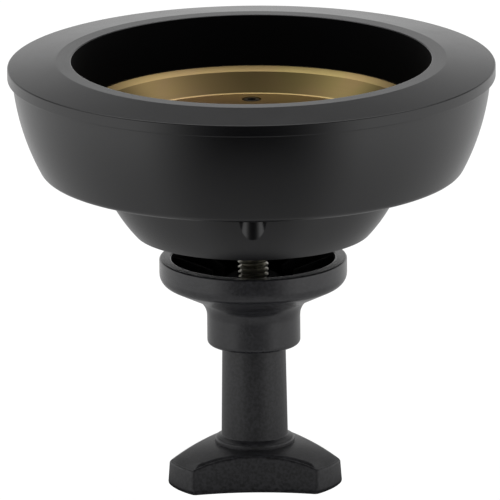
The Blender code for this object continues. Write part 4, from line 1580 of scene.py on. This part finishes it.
@dataclass
class Studio:
    """The camera, the floor and the light."""

    photo_size: float = 500.0
    lip_pixel: tuple[float, float] = (251.3, 59.0)  # where the photograph has the axis at the lip
    base_pixel: tuple[float, float] = (255.2, 480.0)  # and at the knob's base
    pixels_per_metre: float = 3203.0
    elevation: float = math.radians(14.75)
    distance: float = 7.4
    sensor: float = 36.0
    farthest: float = 100.0
    floor_radius: float = 12.0
    floor_gap: float = 0.3 * MM
    contact: tuple[float, float] = (0.026, 0.044)  # from the axis: where the floor starts and is whole
    glow: float = 1.09  # how bright the floor glows to the camera
    glowing: float = 0.86  # how much of what the camera sees is that glow: the rest is lit cloth
    cloth: float = 0.80  # the cloth's tone
    # The floor's glow that glossy faces see is dimmed near the object: a painted shadow.
    shade_reach: float = 0.40  # how far the object's shade spreads on the floor
    floor_near: float = 0.32  # what a glossy face sees of the floor beside the object
    floor_far: float = 0.75  # out of its shade
    floor_before: float = 0.27  # and close before it
    plain: float = 0.75  # the even light on matt faces
    mirrored_low: float = 0.94  # what a glossy face sees at the horizon
    mirrored_high: float = 0.10  # and above
    fall: tuple[float, float] = (0.0, 0.57)  # sines of elevation between which that changes
    canopy: float = 1.15  # what it sees of the light overhead and behind
    canopy_rise: tuple[float, float] = (0.58, 0.82)  # sines of elevation between which that starts
    canopy_reach: tuple[float, float] = (-0.06, 0.38)  # the same towards the back
    dark_front: tuple[float, float] = (0.60, 1.0)  # cosines from the front: where the dark starts and is full
    darkness: float = 0.95
    softbox_place: tuple[float, float, float] = (0.0, 0.10, 1.40)
    softbox_aim: tuple[float, float, float] = (0.0, 0.0, 0.10)
    softbox_size: tuple[float, float] = (1.2, 1.0)
    softbox_radiance: float = 2.0

    def build_camera(self) -> None:
        """Set the camera where the photograph was taken from, far off with a long lens."""
        slant = Vector(self.base_pixel) - Vector(self.lip_pixel)
        lean = math.atan2(slant.x, slant.y)
        sine, cosine = math.sin(self.elevation), math.cos(self.elevation)
        forward = Vector((0.0, cosine, -sine))
        level, upright = Vector((1.0, 0.0, 0.0)), Vector((0.0, sine, cosine))
        right = level * math.cos(lean) - upright * math.sin(lean)
        up = level * math.sin(lean) + upright * math.cos(lean)
        across = (self.lip_pixel[0] - self.photo_size / 2) / self.pixels_per_metre
        above = (self.photo_size / 2 - self.lip_pixel[1]) / self.pixels_per_metre
        aim = UP * CAD_BOX[1][2] - right * across - up * above
        data = bpy.data.cameras.new("camera")
        data.sensor_width = self.sensor
        data.lens = self.pixels_per_metre * self.distance / self.photo_size * self.sensor
        data.clip_end = self.farthest
        camera = bpy.data.objects.new("camera", data)
        bpy.context.scene.collection.objects.link(camera)
        turn = Matrix((right, up, -forward)).transposed().to_4x4()
        camera.matrix_world = Matrix.Translation(aim - forward * self.distance) @ turn
        bpy.context.scene.camera = camera

    def front(self, place: Link) -> Link:
        """Return 1 straight in front of the object and 0 to its sides and back, by a direction."""
        share = place.split()[1] * -1.0 / (place.off_axis() + TINY)
        return share.between(*self.dark_front)

    def floor_material(self) -> bpy.types.Material:
        """Make the floor's material: nearly white to the camera, save for the object's shade.

        A glossy face sees the floor dimmed near the object, by a painted shadow. Near the axis and from below
        the floor is open, so that light reaches the knob's underside.

        Returns:
            The material.
        """
        material = bpy.data.materials.new("pale_floor")
        material.use_nodes = True
        material.node_tree.nodes.clear()
        material.cycles.emission_sampling = "NONE"
        board = Board(material.node_tree)
        camera, glossy = board.rays()
        place = board.add("ShaderNodeTexCoord", output="Object")
        # A painted shadow: the glow that glossy faces see falls off towards the object.
        away = place.off_axis().between(0.0, self.shade_reach)
        clear_of_knob = place.off_axis().between(*self.contact)
        beside = self.floor_near + (self.floor_far - self.floor_near) * away
        before = self.floor_before * (1.0 - away)
        mirrored = (beside + (before - beside) * self.front(place)) * clear_of_knob
        strength = camera * self.glow + glossy * mirrored
        tone = colour(self.cloth, self.cloth, self.cloth)
        cloth = board.add("ShaderNodeBsdfDiffuse", sockets={"Color": tone})
        glow = board.add("ShaderNodeEmission", sockets={"Color": colour(1, 1, 1), "Strength": strength})
        opening = board.add("ShaderNodeBsdfTransparent")
        below = board.add("ShaderNodeNewGeometry", output="Backfacing")
        matt = self.mix(board, clear_of_knob, opening, cloth)
        seen = self.mix(board, camera * self.glowing + glossy, matt, glow)
        board.end("ShaderNodeOutputMaterial", self.mix(board, below, seen, opening))
        return material

    @staticmethod
    def mix(board: Board, share: Link, first: Link, second: Link) -> Link:
        """Mix two shaders by a share, 0 for the first."""
        return board.add("ShaderNodeMixShader", sockets={0: share, 1: first, 2: second})

    def build_floor(self) -> None:
        """Lay a plain pale floor under the knob.

        It goes with the handle's slide, so that the adapter stands on it at each pose.
        """
        work = bmesh.new()
        bmesh.ops.create_circle(work, cap_ends=True, segments=SMALL_SIDES, radius=self.floor_radius)
        mesh = bpy.data.meshes.new("floor")
        work.to_mesh(mesh)
        work.free()
        mesh.materials.append(self.floor_material())
        floor = Workshop.show("floor", mesh)
        floor.location.z = -self.floor_gap
        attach(floor, Body.WASHERS.value)

    def build_world(self) -> None:
        """Surround the object with even light, white behind it and dark behind the camera."""
        world = bpy.data.worlds.new("studio")
        world.use_nodes = True
        world.node_tree.nodes.clear()
        world.cycles.sampling_method = "NONE"
        bpy.context.scene.world = world
        board = Board(world.node_tree)
        camera, glossy = board.rays()
        aim = board.add("ShaderNodeTexCoord", output="Generated")
        _, back, height = aim.split()
        low = 1.0 - height.between(*self.fall)
        level = self.mirrored_high + (self.mirrored_low - self.mirrored_high) * low
        level = level + self.canopy * height.between(*self.canopy_rise) * back.between(*self.canopy_reach)
        mirrored = level * (1.0 - self.darkness * self.front(aim))
        strength = camera + (1.0 - camera) * (glossy * mirrored + (1.0 - glossy) * self.plain)
        sockets = {"Color": colour(1, 1, 1), "Strength": strength}
        board.end("ShaderNodeOutputWorld", board.add("ShaderNodeBackground", sockets=sockets))

    def build_softbox(self) -> None:
        """Hang a large softbox overhead, which shows in no reflection."""
        width, depth = self.softbox_size
        data = bpy.data.lights.new("overhead", "AREA")
        data.shape = "RECTANGLE"
        data.size, data.size_y = width, depth
        data.energy = self.softbox_radiance * math.pi * width * depth
        softbox = bpy.data.objects.new("overhead", data)
        softbox.visible_glossy = False
        bpy.context.scene.collection.objects.link(softbox)
        place = Vector(self.softbox_place)
        turn = (Vector(self.softbox_aim) - place).to_track_quat("-Z", "Y")
        softbox.matrix_world = Matrix.Translation(place) @ turn.to_matrix().to_4x4()

    def build(self) -> None:
        """Set up the whole studio."""
        self.build_camera()
        self.build_floor()
        self.build_world()
        self.build_softbox()
        bpy.context.scene.view_settings.view_transform = "Standard"


def main() -> None:
    """Build the adapter's looks and the studio round it."""
    logging.basicConfig(level=logging.INFO, format="%(name)s: %(message)s")
    shop = Workshop()
    for part in (HalfBalls(shop), Stud(shop), ClampCup(shop), Handle(shop), Studio()):
        part.build()
        log.info("%s done", type(part).__name__)
    dress_packed_solids()


if __name__ == "__main__":
    main()
